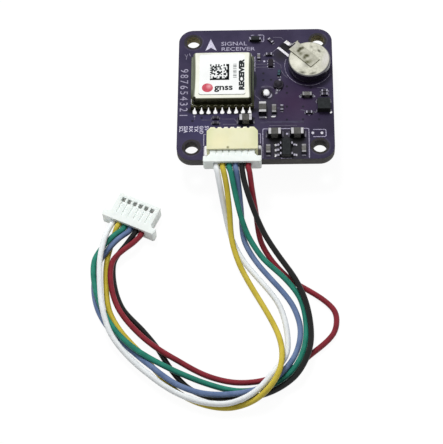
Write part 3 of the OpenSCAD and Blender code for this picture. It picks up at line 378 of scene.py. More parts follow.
finishes = {
    # solder mask: a purple satin with painted shadow round the parts, paler over copper and near black in a via
    "mask": mask("purple solder mask", ("#2d2840", "#332d46", "#39334b"), ("#484648", "#63615f"), poursAndPaintedShade,
        wallSpots=holeWalls),
    "maskOverCopper": mask("solder mask over a copper track", ("#504b5d", "#575264", "#5e5a6c"), blotch=0.8),
    "thickMask": mask("solder mask that lies thick", ("#393447", "#3e394e", "#433e54"), blotch=0.8),
    "maskInVia": mask("solder mask sunk in a via", ("#16131f", "#1b1827", "#201d2c"), ("#16131f", "#1b1827")),
    "bareLaminate": mask("mask edge round a drilled hole", ("#26231f", "#2d2a2a", "#322f33"), ("#26231f", "#322f33"),
        blotch=0.6),
    # green mask: olive, on laminate with brown glass layers
    "moduleBase": mask("glass laminate under green mask", ("#33341f", "#3a3b25", "#42432b"), ("#1d1d12", "#4a4628"),
        laminateRims),
    # screen-printed epoxy ink: a matt lilac white, greyer where it is thin
    "ink": speckled("screen-printed ink", ("#aba6bf", "#c6c2d6", "#d9d6e6"), 0.4, (0.55, 0.75), 0.05, 0.002),
    "midInk": speckled("worn screen-printed ink", ("#8a859b", "#9d98ae", "#ada8bd"), 0.4, (0.55, 0.75), 0.05, 0.002),
    "thinInk": speckled("thin screen-printed ink", ("#716b80", "#868095", "#9a94a8"), 0.4, (0.55, 0.75), 0.05, 0.002),
    # deep-drawn nickel silver: a warm white satin with painted shade on its walls, near black in front and greyer at
    # the sides
    "can": metal("drawn nickel silver", ("#f6f7e8", "#fcfdf2"), (0.3, 0.42), 1.5, 0.08, 0.002, (1, 0.12, 1),
        canSmudgeAndShade, "#4c4d3b", (0.78, 0.93), "#6c705d"),
    # white polyester film: smooth, with a faint sheen
    "label": speckled("polyester label film", ("#eceeed", "#eff1f0", "#f1f3f2"), 3, (0.32, 0.44), 0.2, 0.002, IOR=1.5,
        shine=0.3),
    # thermal-transfer print: matt black, a worn grey and a dull red
    "labelBlack": speckled("black transfer print", ("#1b1f21", "#212628", "#272d2f"), 0.4, (0.5, 0.65), 0.05, 0.001,
        shine=0.15),
    "labelGrey": speckled("worn grey transfer print", ("#686c6b", "#7d8180", "#8f9392"), 0.3, (0.5, 0.65), 0.05,
        0.001),
    "labelRed": speckled("red transfer print", ("#b3404f", "#bd4656", "#c5505f"), 0.6, (0.4, 0.55), 0.05, 0.001,
        [((-7.35, -0.1), 0.6, "#e7a3aa", 0.9)]),
    # natural nylon with a fine mould grain: waxy cream, greener towards its sides
    "headerNylon": speckled("natural moulded nylon", ("#dcdab2", "#e1dfb9", "#e4e2bf"), 2.5, (0.42, 0.6), 0.09, 0.004,
        headerTints, IOR=1.53, Subsurface_Weight=0.1, Subsurface_Scale=0.0004, Subsurface_Radius=(1, 0.8, 0.5)),
    # bleached nylon: a cold, waxy white
    "plugNylon": speckled("white moulded nylon", ("#ebf2ee", "#eef5f1", "#f1f7f4"), 2, (0.38, 0.55), 0.09, 0.003,
        IOR=1.53, Subsurface_Weight=0.3, Subsurface_Scale=0.001, Subsurface_Radius=(1, 0.95, 0.9)),
    # stamped bronze with a gold flash: warm and bright
    "contact": metal("gold-flashed bronze", ("#c9b070", "#dcc68c"), (0.22, 0.36), 0.6, 0.04),
    # tin plate: a soft grey; the anchors are painted brighter, a painted highlight, with a painted shadow over the
    # right one
    "tin": metal("matt tin plate", ("#c4c4c2", "#dcdcd9"), (0.28, 0.45), 0.4),
    "litAnchorTin": metal("bright tin plate", ("#e4e4e2", "#f1f1ee"), (0.25, 0.4), 0.4,
        spots=[((0.55, -11.5), 1.15, "#4a4843", 2.5)], Metallic=0.7),
    # fired nickel and tin on chip parts, with painted shade down their faces
    "largeEnd": metal("reflowed end cap", ("#bdbcbf", "#d6d5d8"), (0.3, 0.45), 0.5, 0.06, walls="#2b2a2e",
        slope=(0.6, 0.99)),
    "mediumEnd": metal("dull fired end cap", ("#908f92", "#a8a7aa"), (0.4, 0.55), 0.4, walls="#2b2a2e"),
    "smallEnd": metal("small reflowed end cap", ("#9a98a6", "#c2bfce"), (0.3, 0.5), 0.3, walls="#36343c",
        # the two resistors at the left have darker ends
        spots=[((-6.4, -5.3), 2.0, "#6c6a75", 1.5)]),
    "coilEnd": metal("end cap under teal glass", ("#33464f", "#4a626c"), (0.35, 0.5), 0.2),
    # reflowed alloy: plain, a copy painted near white for its glints and a grey copy painted in shade;
    # the dome and the grey copy have painted shade down their faces
    "solder": metal("reflowed solder", ("#c1bfca", "#e9e7f0"), (0.2, 0.42), 0.25, 0.07, 0.004),
    "glintWhiteSolder": metal("solder painted white for its glints", ("#fbfbfc", "#ffffff"), (0.12, 0.25), 0.3, 0.08, 0.002),
    "domeSolder": metal("dome of reflowed solder", ("#f8f8fa", "#fdfdfe"), (0.25, 0.4), 0.3, 0.08, walls="#8f8c9a",
        slope=(0.4, 0.88)),
    "shadedSolder": metal("solder painted grey and shaded", ("#65636e", "#8b8896"), (0.35, 0.55), 0.2, 0.06, 0.004,
        walls="#2d2b33", slope=(0.45, 0.9)),
    # thin plating in the module's grooves: a dull olive grey
    "land": metal("plated pad grooves", ("#86856f", "#a3a28f"), (0.4, 0.6), 0.2),
    # nickel strip: a grey-green satin with weld smudges and a painted highlight at its bent end; the base tab is
    # painted brighter, a painted highlight
    "tab": metal("spot-welded nickel strip", ("#b4b3a4", "#c9c8b9"), (0.3, 0.46), 0.5, 0.05, 0.004, (1, 0.2, 1),
        stripSmudgesAndHighlight),
    "litTab": metal("bright nickel strip", ("#dddce2", "#eceaf0"), (0.25, 0.4), 0.5, Metallic=0.75),
    # soiling and painted shadow along the strip's edges: dead matt dark olive
    "grimeAndShadow": speckled("grime along an edge", ("#4b4a3e", "#5d5c4f", "#74735f"), 0.3, (0.7, 0.9)),
    "cellSteel": scuffedSteel("scuffed nickel-plated steel", cellSmudges),
    # moulded polypropylene seal: a dull black line
    "seal": speckled("moulded seal", ("#151515", "#1a1a1a", "#202020"), 0.5, (0.5, 0.7)),
    # moulded epoxy: dead matt, blue-black or violet-black, the blue-black with painted shade on its walls
    "resin": speckled("black moulded epoxy", ("#181b1d", "#1e2123", "#232628"), 0.5, (0.5, 0.68), 0.035, 0.005,
        walls="#0b0c0d", IOR=1.55, shine=0.2),
    "smallResin": speckled("violet-black moulded epoxy", ("#19141c", "#1f1a22", "#241f27"), 0.4, (0.5, 0.68), 0.035,
        IOR=1.55, shine=0.2),
    # fired bodies of chip parts: glassy resistors, sandy ferrite, teal glass with painted highlights, and smooth grey
    # capacitors with painted light on their walls
    "glaze": speckled("black resistor glaze", ("#2b2831", "#322f39", "#393641"), 0.3, (0.3, 0.45), 0.08, 0.003,
        shine=0.25),
    "ferrite": speckled("sintered ferrite", ("#242128", "#29262e", "#2f2b34"), 0.3, (0.5, 0.7), 0.05, 0.006,
        shine=0.25),
    "coil": speckled("teal glass ceramic", ("#12252d", "#172c35", "#1d343d"), 0.2, (0.25, 0.4), 0.05, 0.002,
        coilHighlights, shine=0.3),
    "capacitor": speckled("fired barium titanate", ("#484745", "#4f4e4c", "#565553"), 0.3, (0.4, 0.6), 0.04,
        walls="#71706e", shine=0.3),
    "paleCapacitor": speckled("pale fired ceramic", ("#5f5e5c", "#676664", "#706f6c"), 0.25, (0.4, 0.6), 0.04,
        shine=0.3),
    # pressed and sintered dielectric: chalky tan with fine pores
    "patch": speckled("sintered dielectric ceramic", ("#a8957b", "#b5a28a", "#bfad96"), 0.6, (0.6, 0.85), 0.08, 0.01),
    # silver paste fired on: a yellowish satin with brush-like unevenness
    "silverFoil": metal("fired silver paste", ("#b9b7ae", "#d2d0c8"), (0.35, 0.6), 1.2, 0.1, 0.006),
    # closed-cell foam tape: matt, off-white and finely pitted
    "tape": speckled("acrylic foam tape", ("#dcdad2", "#e3e1da", "#e9e7e0"), 0.3, (0.7, 0.9), 0.1, 0.02),
    # seam-welded nickel lid of the crystal: a plain satin grey
    "glassLid": metal("seam-welded lid", ("#c0bfb4", "#d3d2c8"), (0.25, 0.4), 0.8, 0.06),
}
wireColours = {"white": ("#e7ebed", "#f0f4f5"), "yellow": ("#c3af38", "#d0bc47"), "green": ("#1e7261", "#288470"),
               "blue": ("#5b7096", "#6d81a7"), "black": ("#090a0a", "#101111"), "red": ("#751d28", "#882330")}
for name, colours in wireColours.items():
    # extruded PVC: smooth and softly glossy, faintly streaked by the extruder
    material, tree, shader, where = newMaterial(
        "extruded PVC " + name, Roughness=0.4, IOR=1.5, Specular_IOR_Level=0.25)
    place = where.outputs["Object"]
    tone, _ = mottled(tree, place, 1.8, 3, (0.35, 0.65), colours)
    ripples = addNode(tree, "ShaderNodeTexNoise", {"Scale": 1 / (0.5 * mm), "Detail": 2}, {"Vector": place})
    connect(tree, shader, tone, height=ripples.outputs[0], depth=0.01)
    paint(material, wires[name])
print("finishes made:", len(finishes))


def addPiece(name, mesh, finish, stands=()):
    piece = newObject(name, mesh)
    paint(finishes[finish], piece)
    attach(piece, root)
    if stands:
        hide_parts(*stands)
    return piece


def meshOf(shape, name, smoothAngle=None):
    mesh = bpy.data.meshes.new(name)
    shape.to_mesh(mesh)
    shape.free()
    if smoothAngle:
        mesh.shade_smooth()
        mesh.set_sharp_from_angle(angle=math.radians(smoothAngle))
    return mesh


def mergedCopy(node):
    # a CAD node comes as loose triangles: merged, then each flat region becomes one face
    shape = bmesh.new()
    shape.from_mesh(nodes[node].data)
    bmesh.ops.remove_doubles(shape, verts=shape.verts, dist=0.001 * mm)
    bmesh.ops.dissolve_limit(shape, angle_limit=math.radians(1.5), verts=shape.verts, edges=shape.edges)
    return shape


def rimOf(shape, height):
    # the edges round a flat top at a height in metres
    onTop = [e for e in shape.edges if min(v.co.z for v in e.verts) > height - 0.01 * mm]
    return [e for e in onTop if e.is_manifold and e.calc_face_angle(0) > 1]


def roundEdges(shape, edges, radius, segments, clamp=True):
    bmesh.ops.bevel(shape, geom=edges, offset=radius * mm, offset_type="OFFSET", affect="EDGES", segments=segments,
                    profile=0.5, material=-1, clamp_overlap=clamp)


def softened(slot, name, node, width, finish, segments=2, crown=0.0):
    shape = mergedCopy(node)
    if crown:  # the edge of a drawn top turns on a wide radius of its own
        roundEdges(shape, rimOf(shape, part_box(node)[1].z), crown, 5)
    sharp = [e for e in shape.edges if e.is_manifold and e.calc_face_angle(0) > math.radians(32)]
    roundEdges(shape, sharp, width, segments)
    bmesh.ops.triangulate(shape, faces=[f for f in shape.faces if len(f.verts) > 4])
    piece = addPiece(name, meshOf(shape, name, 50), finish, [node])
    piece.modifiers.new("faceWeights", "WEIGHTED_NORMAL").keep_sharp = True
    return piece


# finishes on the CAD solids that are right as they are
onNodes = {"tape": ["tape_pad"], "silverFoil": ["ground_foil", "radiator_foil"], "domeSolder": ["feed_joint"],
           "tin": ["feed_pin"], "resin": ["receiver_chip"], "glassLid": ["reference_crystal"],
           "paleCapacitor": ["input_filter"], "contact": ["header_contacts"], "seal": ["cell_gasket"],
           "cellSteel": ["cell_cap"], "label": ["module_label"]}
for finish, names in onNodes.items():
    paint(finishes[finish], *names)

# pieces with rounded edges, under their slots: piece, node, rounding in mm, finish, then maybe the segments of
# the rounding and the wide radius of a drawn top
rounded = {
    "board": [("board", "circuit_board", 0.04, "mask")],
    "patch_ceramic": [("patchCeramic", "patch_ceramic", 0.12, "patch")],
    "module_laminate": [("moduleBase", "module_base", 0.02, "moduleBase")],
    "header_nylon": [("headerHousing", "header_housing", 0.06, "headerNylon")],
    "plug_nylon": [
        ("boardPlug", "board_plug_housing", 0.05, "plugNylon"), ("freePlug", "free_plug_housing", 0.05, "plugNylon")],
    "tinned_metal": [
        ("headerTabs", "header_tabs", 0.03, "litAnchorTin"), ("boardPlugTerminals", "board_plug_terminals", 0.02, "tin"),
        ("freePlugTerminals", "free_plug_terminals", 0.02, "tin"),
        ("regulatorLeads", "regulator_leads", 0.03, "smallEnd"), ("diodeEnds", "diode_terminals", 0.03, "smallEnd"),
        ("chokeEnds", "choke_terminals", 0.03, "smallEnd"), ("coilEnds", "coil_terminals", 0.03, "coilEnd"),
        ("largeCapacitorEnds", "large_capacitor_ends", 0.15, "largeEnd", 4),
        ("mediumCapacitorEnds", "medium_capacitor_ends", 0.08, "mediumEnd", 3),
        ("smallPartEnds", "small_part_ends", 0.04, "smallEnd")],
    "solder": [
        ("headerSolder", "header_joints", 0.04, "solder"), ("regulatorSolder", "regulator_joints", 0.03, "solder"),
        ("sensorSolder", "sensor_joints", 0.03, "shadedSolder"), ("chipSolder", "chip_joints", 0.04, "shadedSolder"),
        ("amplifierSolder", "amplifier_joints", 0.02, "smallEnd"), ("barePads", "bare_pads", 0.03, "solder"),
        ("cellSolder", "cell_joints", 0.03, "glintWhiteSolder")],
    "chip_resin": [
        ("regulator", "regulator_body", 0.05, "resin"), ("sensor", "sensor_chip", 0.05, "resin"),
        ("amplifier", "amplifier_chip", 0.03, "smallResin"), ("diode", "diode_body", 0.05, "resin"),
        ("smallResistors", "small_resistors", 0.02, "glaze")],
    "choke_ferrite": [("choke", "choke_body", 0.12, "ferrite")],
    "coil_ceramic": [("coil", "coil_body", 0.03, "coil")],
    "capacitor_ceramic": [
        ("largeCapacitors", "large_capacitors", 0.05, "capacitor"),
        ("mediumCapacitors", "medium_capacitors", 0.04, "paleCapacitor")],
    "small_capacitor_ceramic": [("smallCapacitors", "small_capacitors", 0.02, "paleCapacitor")],
    "cell_steel": [("cellCan", "cell_can", 0.03, "cellSteel", 2, 0.28)],
    "tab_steel": [("cellTopTab", "cell_top_tab", 0.03, "tab"), ("cellBaseTab", "cell_base_tab", 0.03, "litTab")],
}
pieces = {row[0]: softened(slot, *row) for slot, rows in rounded.items() for row in rows}
print("rounded pieces made:", len(pieces))

# pads in mm, and how the CAD bell is drawn in: its widths, its height and how fast it narrows
modulePads = {
    # bare is the width of the painted corner glints
    "pitch": 1.1, "count": 9, "ring": 0.29, "plating": 0.13, "raised": 0.012, "bare": 0.1,
    "footWider": 1.02, "topWider": 0.72, "bellLower": 0.72, "climb": 2,
    "cornerGlints": [[(-10.24, -1.4), (-10.24, -2.3)], [(-10.16, -2.46), (-10.02, -2.46)],
                    [(-0.66, -1.6), (-0.66, -2.05)], [(-0.74, -2.46), (-0.6, -2.46)]],
}


def padColumns():
    middle = sum(corner.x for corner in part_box("module_joints")) / 2 / mm
    count, pitch = modulePads["count"], modulePads["pitch"]
    return [middle + (k - (count - 1) / 2) * pitch for k in range(count)]


def solderBells():
    # eighteen bells, wide and flat at the foot, that climb part of the way up their grooves
    shape = mergedCopy("module_joints")
    columns = padColumns()
    foot, top = (corner.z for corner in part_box("module_joints"))
    for vert in shape.verts:
        column = min(columns, key=lambda x: abs(x - vert.co.x / mm)) * mm
        climbed = min(1, modulePads["climb"] * (vert.co.z - foot) / (top - foot))
        wider = modulePads["footWider"] + (modulePads["topWider"] - modulePads["footWider"]) * climbed
        vert.co.x = column + (vert.co.x - column) * wider
        vert.co.z = foot + (vert.co.z - foot) * modulePads["bellLower"]
    # the bells take the solder painted near white for its glints
    addPiece("moduleSolder", meshOf(shape, "moduleSolder", 70), "glintWhiteSolder", ["module_joints"])


solderBells()

canShape = {"cornerRadius": 0.5, "crownRadius": 0.38, "segments": 6, "wall": 0.2}


def shieldCan():
    # drawn from one sheet, so its corners and the edge of its top are turned on wide radii
    low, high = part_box("shield_can")
    size = high - low
    shape = bmesh.new()
    bmesh.ops.create_cube(shape, size=1)
    bmesh.ops.scale(shape, vec=size, verts=shape.verts)
    bmesh.ops.translate(shape, vec=(low + high) / 2, verts=shape.verts)
    upright = [e for e in shape.edges if abs(e.verts[0].co.z - e.verts[1].co.z) > size.z / 2]
    roundEdges(shape, upright, canShape["cornerRadius"], canShape["segments"], False)
    roundEdges(shape, rimOf(shape, high.z), canShape["crownRadius"], canShape["segments"], False)
    bmesh.ops.delete(shape, geom=[f for f in shape.faces if f.normal.z < -0.9], context="FACES")
    piece = addPiece("shieldCan", meshOf(shape, "shieldCan", 40), "can", ["shield_can"])
    wall = piece.modifiers.new("wall", "SOLIDIFY")
    wall.thickness = canShape["wall"] * mm
    wall.offset = -1


shieldCan()


def takenMesh(name, data, place, turn, scale):
    # the mesh of a curve or a text, moved to its place in mm
    pen = newObject(name, data)
    bpy.context.view_layer.update()
    mesh = bpy.data.meshes.new_from_object(pen.evaluated_get(bpy.context.evaluated_depsgraph_get()))
    bpy.data.objects.remove(pen)
    mesh.transform(Matrix.LocRotScale(Vector(place) * mm, Matrix.Rotation(math.radians(turn), 3, "Z"), Vector(scale)))
    return mesh


def strokes(lines, width, height, level):
    # lines are lists of points, each drawn by a round pen and pressed flat; a closed one repeats its first point
    curve = bpy.data.curves.new("strokes", "CURVE")
    curve.dimensions = "3D"
    curve.bevel_depth = width / 2 * mm
    curve.bevel_resolution = 2
    curve.use_fill_caps = True
    for line in lines:
        closed = line[0] == line[-1]
        points = line[:-1] if closed else line
        spline = curve.splines.new("POLY")
        spline.points.add(len(points) - 1)
        for point, place in zip(spline.points, points):
            point.co = (place[0] * mm, place[1] * mm, 0, 1)
        spline.use_cyclic_u = closed
    return takenMesh("strokes", curve, (0, 0, level), 0, (1, 1, 2 * height / width))


def arc(centre, radius, start=0, end=360, steps=48):
    count = max(3, round(steps * abs(end - start) / 360))
    turn = [math.radians(start + (end - start) * k / count) for k in range(count + 1)]
    points = [(round(centre[0] + radius * math.cos(a), 4), round(centre[1] + radius * math.sin(a), 4)) for a in turn]
    return points if abs(end - start) < 360 else points[:-1] + points[:1]


def plate(outline, height, level):
    shape = bmesh.new()
    face = shape.faces.new([shape.verts.new((x * mm, y * mm, level * mm)) for x, y in outline])
    grown = bmesh.ops.extrude_face_region(shape, geom=[face])
    bmesh.ops.translate(shape, verts=[v for v in grown["geom"] if isinstance(v, bmesh.types.BMVert)],
                        vec=(0, 0, height * mm))
    bmesh.ops.recalc_face_normals(shape, faces=shape.faces)
    return meshOf(shape, "plate")


def disc(centre, radius, height, level):
    return plate(arc(centre, radius, steps=16)[:-1], height, level)


def block(x0, x1, y0, y1, height, level):
    return plate([(x0, y0), (x1, y0), (x1, y1), (x0, y1)], height, level)


def words(text, size, place, height, level, turn=0, thicken=0.0, stretch=1.0, align="LEFT"):
    data = bpy.data.curves.new(text, "FONT")
    data.body = text
    data.size = size * mm
    data.extrude = height / 2 * mm
    data.offset = thicken * mm
    data.align_x = align
    data.resolution_u = 3
    return takenMesh(text, data, (*place, level + height / 2), turn, (stretch, 1, 1))


def joined(name, meshes, finish):
    shape = bmesh.new()
    for mesh in meshes:
        shape.from_mesh(mesh)
    bmesh.ops.recalc_face_normals(shape, faces=shape.faces)
    return addPiece(name, meshOf(shape, name, 60), finish)


def padRings():
    # the plating of each half-round groove shows as a half ring on the module's base, and strokes in the solder
    # finish at its front corners are painted glints of the can's corner edges and feet
    front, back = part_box("module_base")
    level, raised = back.z / mm, modulePads["raised"]
    rings = [arc((column, y / mm), modulePads["ring"], start, start + 156)
             for y, start in ((front.y, 12), (back.y, 192)) for column in padColumns()]
    joined("padRings", [strokes(rings, modulePads["plating"], raised, level)], "land")
    joined("baseCornerGlints", [strokes(modulePads["cornerGlints"], modulePads["bare"], raised, level)], "solder")


padRings()

# stray solder on bare lands in three tones, lit, half-lit and shaded copies of one solder (painted light and shade):
# finish, then place, reach along x and y, height, turn, in mm and degrees
beads = {
    "litBeads": ("glintWhiteSolder", [
        ((2.85, -4.53), 0.3, 0.09, 0.08, 0), ((1.62, -4.7), 0.13, 0.12, 0.14, 0),
        ((12.02, -3.85), 0.14, 0.18, 0.14, -20), ((3.1, -9.85), 0.13, 0.17, 0.16, 0),
        ((3.1, -10.83), 0.13, 0.16, 0.16, 0), ((3.08, -11.78), 0.13, 0.24, 0.16, 0)]),
    "halfLitBeads": ("smallEnd", [
        ((3.36, -0.02), 0.19, 0.15, 0.14, 30), ((4.05, 3.1), 0.13, 0.12, 0.1, 0),
        ((-9.72, -4.3), 0.12, 0.14, 0.08, 0), ((2.15, -0.5), 0.42, 0.36, 0.14, 30),
        ((7.15, -0.8), 0.12, 0.2, 0.1, 20), ((9.4, -0.75), 0.16, 0.16, 0.1, 0)]),
    "shadedBeads": ("shadedSolder", [
        ((3.85, 0.55), 0.26, 0.13, 0.08, 50), ((9.6, -3.75), 0.12, 0.14, 0.1, 0),
        ((9.72, -1.6), 0.09, 0.22, 0.08, -10), ((12, -1.6), 0.08, 0.2, 0.08, 10)]),
}


def solderBeads(name, finish, drops):
    # a low drop with a foot that wets outwards over its land
    shape = bmesh.new()
    for place, along, across, height, turn in drops:
        made = bmesh.ops.create_uvsphere(shape, u_segments=20, v_segments=14, radius=1)["verts"]
        ball = list({g for v in made for g in (v, *v.link_edges, *v.link_faces)})
        cut = bmesh.ops.bisect_plane(shape, geom=ball, plane_no=(0, 0, 1), clear_inner=True)
        made = [g for g in cut["geom"] if isinstance(g, bmesh.types.BMVert)]
        for vert in made:
            vert.co.xy *= 1 + 0.3 * (1 - vert.co.z) ** 6
        turned = Matrix.Rotation(math.radians(turn), 3, "Z")
        matrix = Matrix.LocRotScale(Vector((*place, boardTop)) * mm, turned, Vector((along, across, height)) * mm)
        bmesh.ops.transform(shape, verts=made, matrix=matrix)
    bmesh.ops.holes_fill(shape, edges=shape.edges, sides=0)
    bmesh.ops.recalc_face_normals(shape, faces=shape.faces)
    addPiece(name, meshOf(shape, name, 60), finish)


for name, (finish, drops) in beads.items():
    solderBeads(name, finish, drops)
print("module and solder made")

silk = {
    "line": 0.15, "thin": 0.1, "height": 0.016, "dot": 0.17,
    # signal names beside the connector, one to each wire; a long name is squeezed to nameLetters letters
    "pinNames": ("SCL", "SDA", "RX", "TX", "GND", "5V"), "pinColumns": (-12.1, -11.38, -10.55, -9.7, -8.88, -8.05),
    "pinRow": -6.15, "pinSize": 0.84, "nameLetters": 2.35,
    # a plain scale of digits down the left edge
    "scaleAt": (-12.12, 4.5), "scaleStep": 1.075, "scaleSize": 1.82, "scaleDigits": "987654321",
    # a plain north arrow and two words for what the part does on the back edge: text, size, place, stretch
    "arrow": [(-7.3, 10.75), (-6.3, 8.4), (-7.25, 9), (-8.15, 8.4)],
    "backWords": [("SIGNAL", 1.05, (-5.6, 9.4), 1.2), ("RECEIVER", 1.0, (-5.6, 8.36), 1.3)],
    "dots": [(4.97, -7.81), (1.46, 6.17)],  # first pins
    "besideCan": [[(-0.08, 7.1), (-0.08, 4.2)]],
    "frames": [
        [(3.95, -12.36), (5.65, -12.36)],
        [(-7.9, -7.75), (-8.2, -7.75), (-8.2, -9.9)], [(0.42, -7.75), (0.76, -7.75), (0.76, -9.6)],  # connector
        [(1.95, -6.85), (1.3, -6.85), (1.15, -7), (1.15, -9.7)], [(4.05, -6.85), (5.55, -6.85)],
        [(7.65, -6.85), (8.3, -6.85), (8.45, -7), (8.45, -12.3)],  # regulator
        [(0.45, 11.42), (1.22, 11.42), (1.38, 11.27), (1.38, 10.25), (1.25, 10.1), (0.5, 10.1)],
        [(-0.2, 11.4), (-0.7, 11.38)], [(-0.95, 11.1), (-0.8, 10.5)],  # diode
        [(9.1, -7.08), (11, -7.08), (11.15, -7.25), (11.15, -8.25), (11, -8.42), (9.1, -8.42)]],  # bare pads
    "thinLines": [
        arc((8.6, 5.2), 3.85, 160, 335), [(1.15, -9.7), (1.15, -12.3)],  # round the cell, and the regulator's side
        [(2.05, 4.75), (2.95, 4.75)], [(2, 6.55), (2.35, 6.55)], [(2.65, 6.55), (3, 6.55)],  # amplifier
        [(1.3, 7.2), (1.62, 7.6)], [(8.4, -4.2), (8.55, -4.4), (8.7, -4.2)],
        [(-11.5, 7.75), (-11.2, 7.2), (-11.05, 7.75)], [(-11.2, 7.2), (-11.25, 6.75)], [(-10.75, 7.9), (-10.6, 7.4)]],
}


def silkscreen():
    lift = silk["height"], boardTop
    bright = [strokes(silk["besideCan"], silk["thin"], *lift), plate(silk["arrow"], *lift)]
    bright += [disc(place, silk["dot"], *lift) for place in silk["dots"]]
    for column, name in zip(silk["pinColumns"], silk["pinNames"]):
        fitted = min(1, silk["nameLetters"] / len(name))
        bright.append(words(name, silk["pinSize"], (column, silk["pinRow"]), *lift, -90, 0.02, fitted))
    worn = [strokes(silk["frames"], silk["line"], *lift)]
    left, top = silk["scaleAt"]
    for k, digit in enumerate(silk["scaleDigits"]):
        place = left, top - silk["scaleStep"] * k
        worn.append(words(digit, silk["scaleSize"], place, *lift, -90, 0, 0.86, "CENTER"))
    worn += [words(text, size, place, *lift, 0, 0.01, stretch) for text, size, place, stretch in silk["backWords"]]
    joined("silkscreen", bright, "ink")
    joined("wornSilkscreen", worn, "midInk")
    joined("thinSilkscreen", [strokes(silk["thinLines"], silk["thin"], *lift)], "thinInk")


silkscreen()

# copper under the mask stands up a little and looks paler: widths, radii and heights in mm
copper = {
    "fine": 0.14, "wide": 0.42, "height": 0.02, "rim": (1.6, 0.26, 0.014), "ring": (1.32, 0.36, 0.012),
    "via": (0.2, 0.006),
    "fineTracks": [
        [(-0.1, 0.6), (-0.1, -0.4), (0.1, -0.65), (0.5, -1), (0.7, -1.3)], [(-0.15, -1.5), (-0.12, -3)],
        [(1, 1.2), (1.7, 1.35), (2.45, 1.2), (2.75, 0.95)], [(0, 5.02), (1.75, 5.02)], [(0, 5.6), (1.75, 5.6)],
        [(3.15, 6.2), (4.15, 5.35), (4.2, 4.75)], [(0.2, 6.3), (1.3, 6.3)], [(5.2, 2.9), (4.6, 3.5), (4.2, 4.3)],
        [(0.9, 1.1), (2.7, 1.12), (2.95, 0.85)], [(2.2, -6.25), (6.6, -6.25)],
        [(-8.6, -5.05), (-7.2, -5.05), (-6.8, -4.7)], [(-5.4, -4.9), (-3.4, -4.9), (-2.9, -5.6)],
        [(-5.2, -5.9), (-3, -5.9)], [(-9.7, -4.2), (-9.7, -5)],
        [(7.2, -3.3), (7.9, -3.5)], [(9.2, -3.75), (9.6, -3.75)], [(2.9, 10.9), (4.2, 10.9), (4.6, 10.4)],
        [(4, 8.9), (3.2, 8.4), (2.8, 7.9)], [(9.9, 0.9), (10.9, 0.9), (11.3, 0.6)]],
    "wideTracks": [[(0.7, -5.6), (7.7, -5.6)], [(3.4, -3), (3.9, -3)]],
    "vias": [(1.28, 3.8), (1.27, 2.49), (2.51, 2.53), (5.06, 1.19), (5.05, -0.04), (5.02, -2.67), (7.61, -2.71),
             (4.99, -5.16), (7.57, -5.14), (10.1, -5.18), (-10.05, -5.2), (-8.6, -4.6), (8.9, 0.9)],
}


def tracks():
    # the mask runs thick over wide tracks, and round each mounting hole outside a dark ring
    holes = [(x, y) for x in (-holeAt, holeAt) for y in (-holeAt, holeAt)]
    radius, width, height = copper["rim"]
    rims = strokes([arc(hole, radius, -150, 55) for hole in holes], width, height, boardTop)
    wide = strokes(copper["wideTracks"], copper["wide"], copper["height"], boardTop)
    fine = strokes(copper["fineTracks"], copper["fine"], copper["height"], boardTop)
    joined("tracks", [fine], "maskOverCopper")
    joined("thickMask", [wide, rims], "thickMask")
    radius, width, height = copper["ring"]
    rings = strokes([arc(hole, radius) for hole in holes], width, height, boardTop)
    joined("holeRings", [rings], "bareLaminate")
    radius, height = copper["via"]
    joined("vias", [disc(via, radius, height, boardTop) for via in copper["vias"]], "maskInVia")


tracks()

# a made-up print: a block pattern with solid sides, a row of bars, a plain dot and two plain words
labelArt = {
    "ink": 0.01, "cells": 14, "cell": 0.216, "patternAt": (-7.24, 1.15), "sideWidth": 0.26, "sideOut": 0.06,
    "words": [("RECEIVER", 1.1, (-1.8, -0.88), 90, 0.075, 1.24), ("gnss", 1.6, (-6.5, -0.82), 0, 0.045, 1.08)],
    "barEnds": (-3.53, -2.98), "firstBar": 1.48, "barStep": 0.29,
    "bars": (0.1, 0.2, 0.08, 0.14, 0.2, 0.08, 0.1, 0.2, 0.14, 0.08),
    "dotAt": (-7.63, -0.38), "dotReach": (0.89, 0.84),
    "frontEdge": [(-9.05, -1.35), (-8.85, -1.66), (-1.75, -1.7), (-1.58, -1.4)], "shadowStroke": (0.09, 0.03),
}


def blockPattern(lift):
    # solid on two sides, then cells from a fixed sum; each run of cells in a row is one plate
    side, cell = labelArt["cells"], labelArt["cell"]
    left, low = labelArt["patternAt"]
    meshes = []
    for row in range(side):
        start = None
        y = low + row * cell
        for col in range(side + 1):
            summed = (row * 7 + col * 11 + row * col * 5) % 13 < 7 and not (row == side - 1 and col % 2)
            on = col < side and (row == 0 or col == side - 1 or summed)
            if on and start is None:
                start = col
            if not on and start is not None:
                meshes.append(block(left + start * cell, left + col * cell, y, y + cell, *lift))
                start = None
    wide, out, span = labelArt["sideWidth"], labelArt["sideOut"], side * cell
    return meshes + [block(left, left + span, low - out, low + wide, *lift),
                     block(left + span - wide, left + span + out, low - out, low + span, *lift)]


def labelPrint():
    low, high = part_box("module_label")
    lift = labelArt["ink"], high.z / mm
    black = [words(text, size, place, *lift, *rest) for text, size, place, *rest in labelArt["words"]]
    joined("labelBlackPrint", blockPattern(lift) + black, "labelBlack")
    bars = []
    for k, width in enumerate(labelArt["bars"]):
        start = labelArt["firstBar"] + labelArt["barStep"] * k
        bars.append(block(*labelArt["barEnds"], start, start + width, *lift))
    joined("labelGreyPrint", bars, "labelGrey")
    (x, y), (wide, deep) = labelArt["dotAt"], labelArt["dotReach"]
    turns = [math.radians(15 * k) for k in range(24)]
    dot = plate([(x + wide * math.cos(a), y + deep * math.sin(a)) for a in turns], *lift)
    joined("labelRedPrint", [dot], "labelRed")
    # a painted shadow line under the film's front edge, which has lifted a little
    joined("labelEdge", [strokes([labelArt["frontEdge"]], *labelArt["shadowStroke"], low.z / mm)], "labelGrey")


labelPrint()

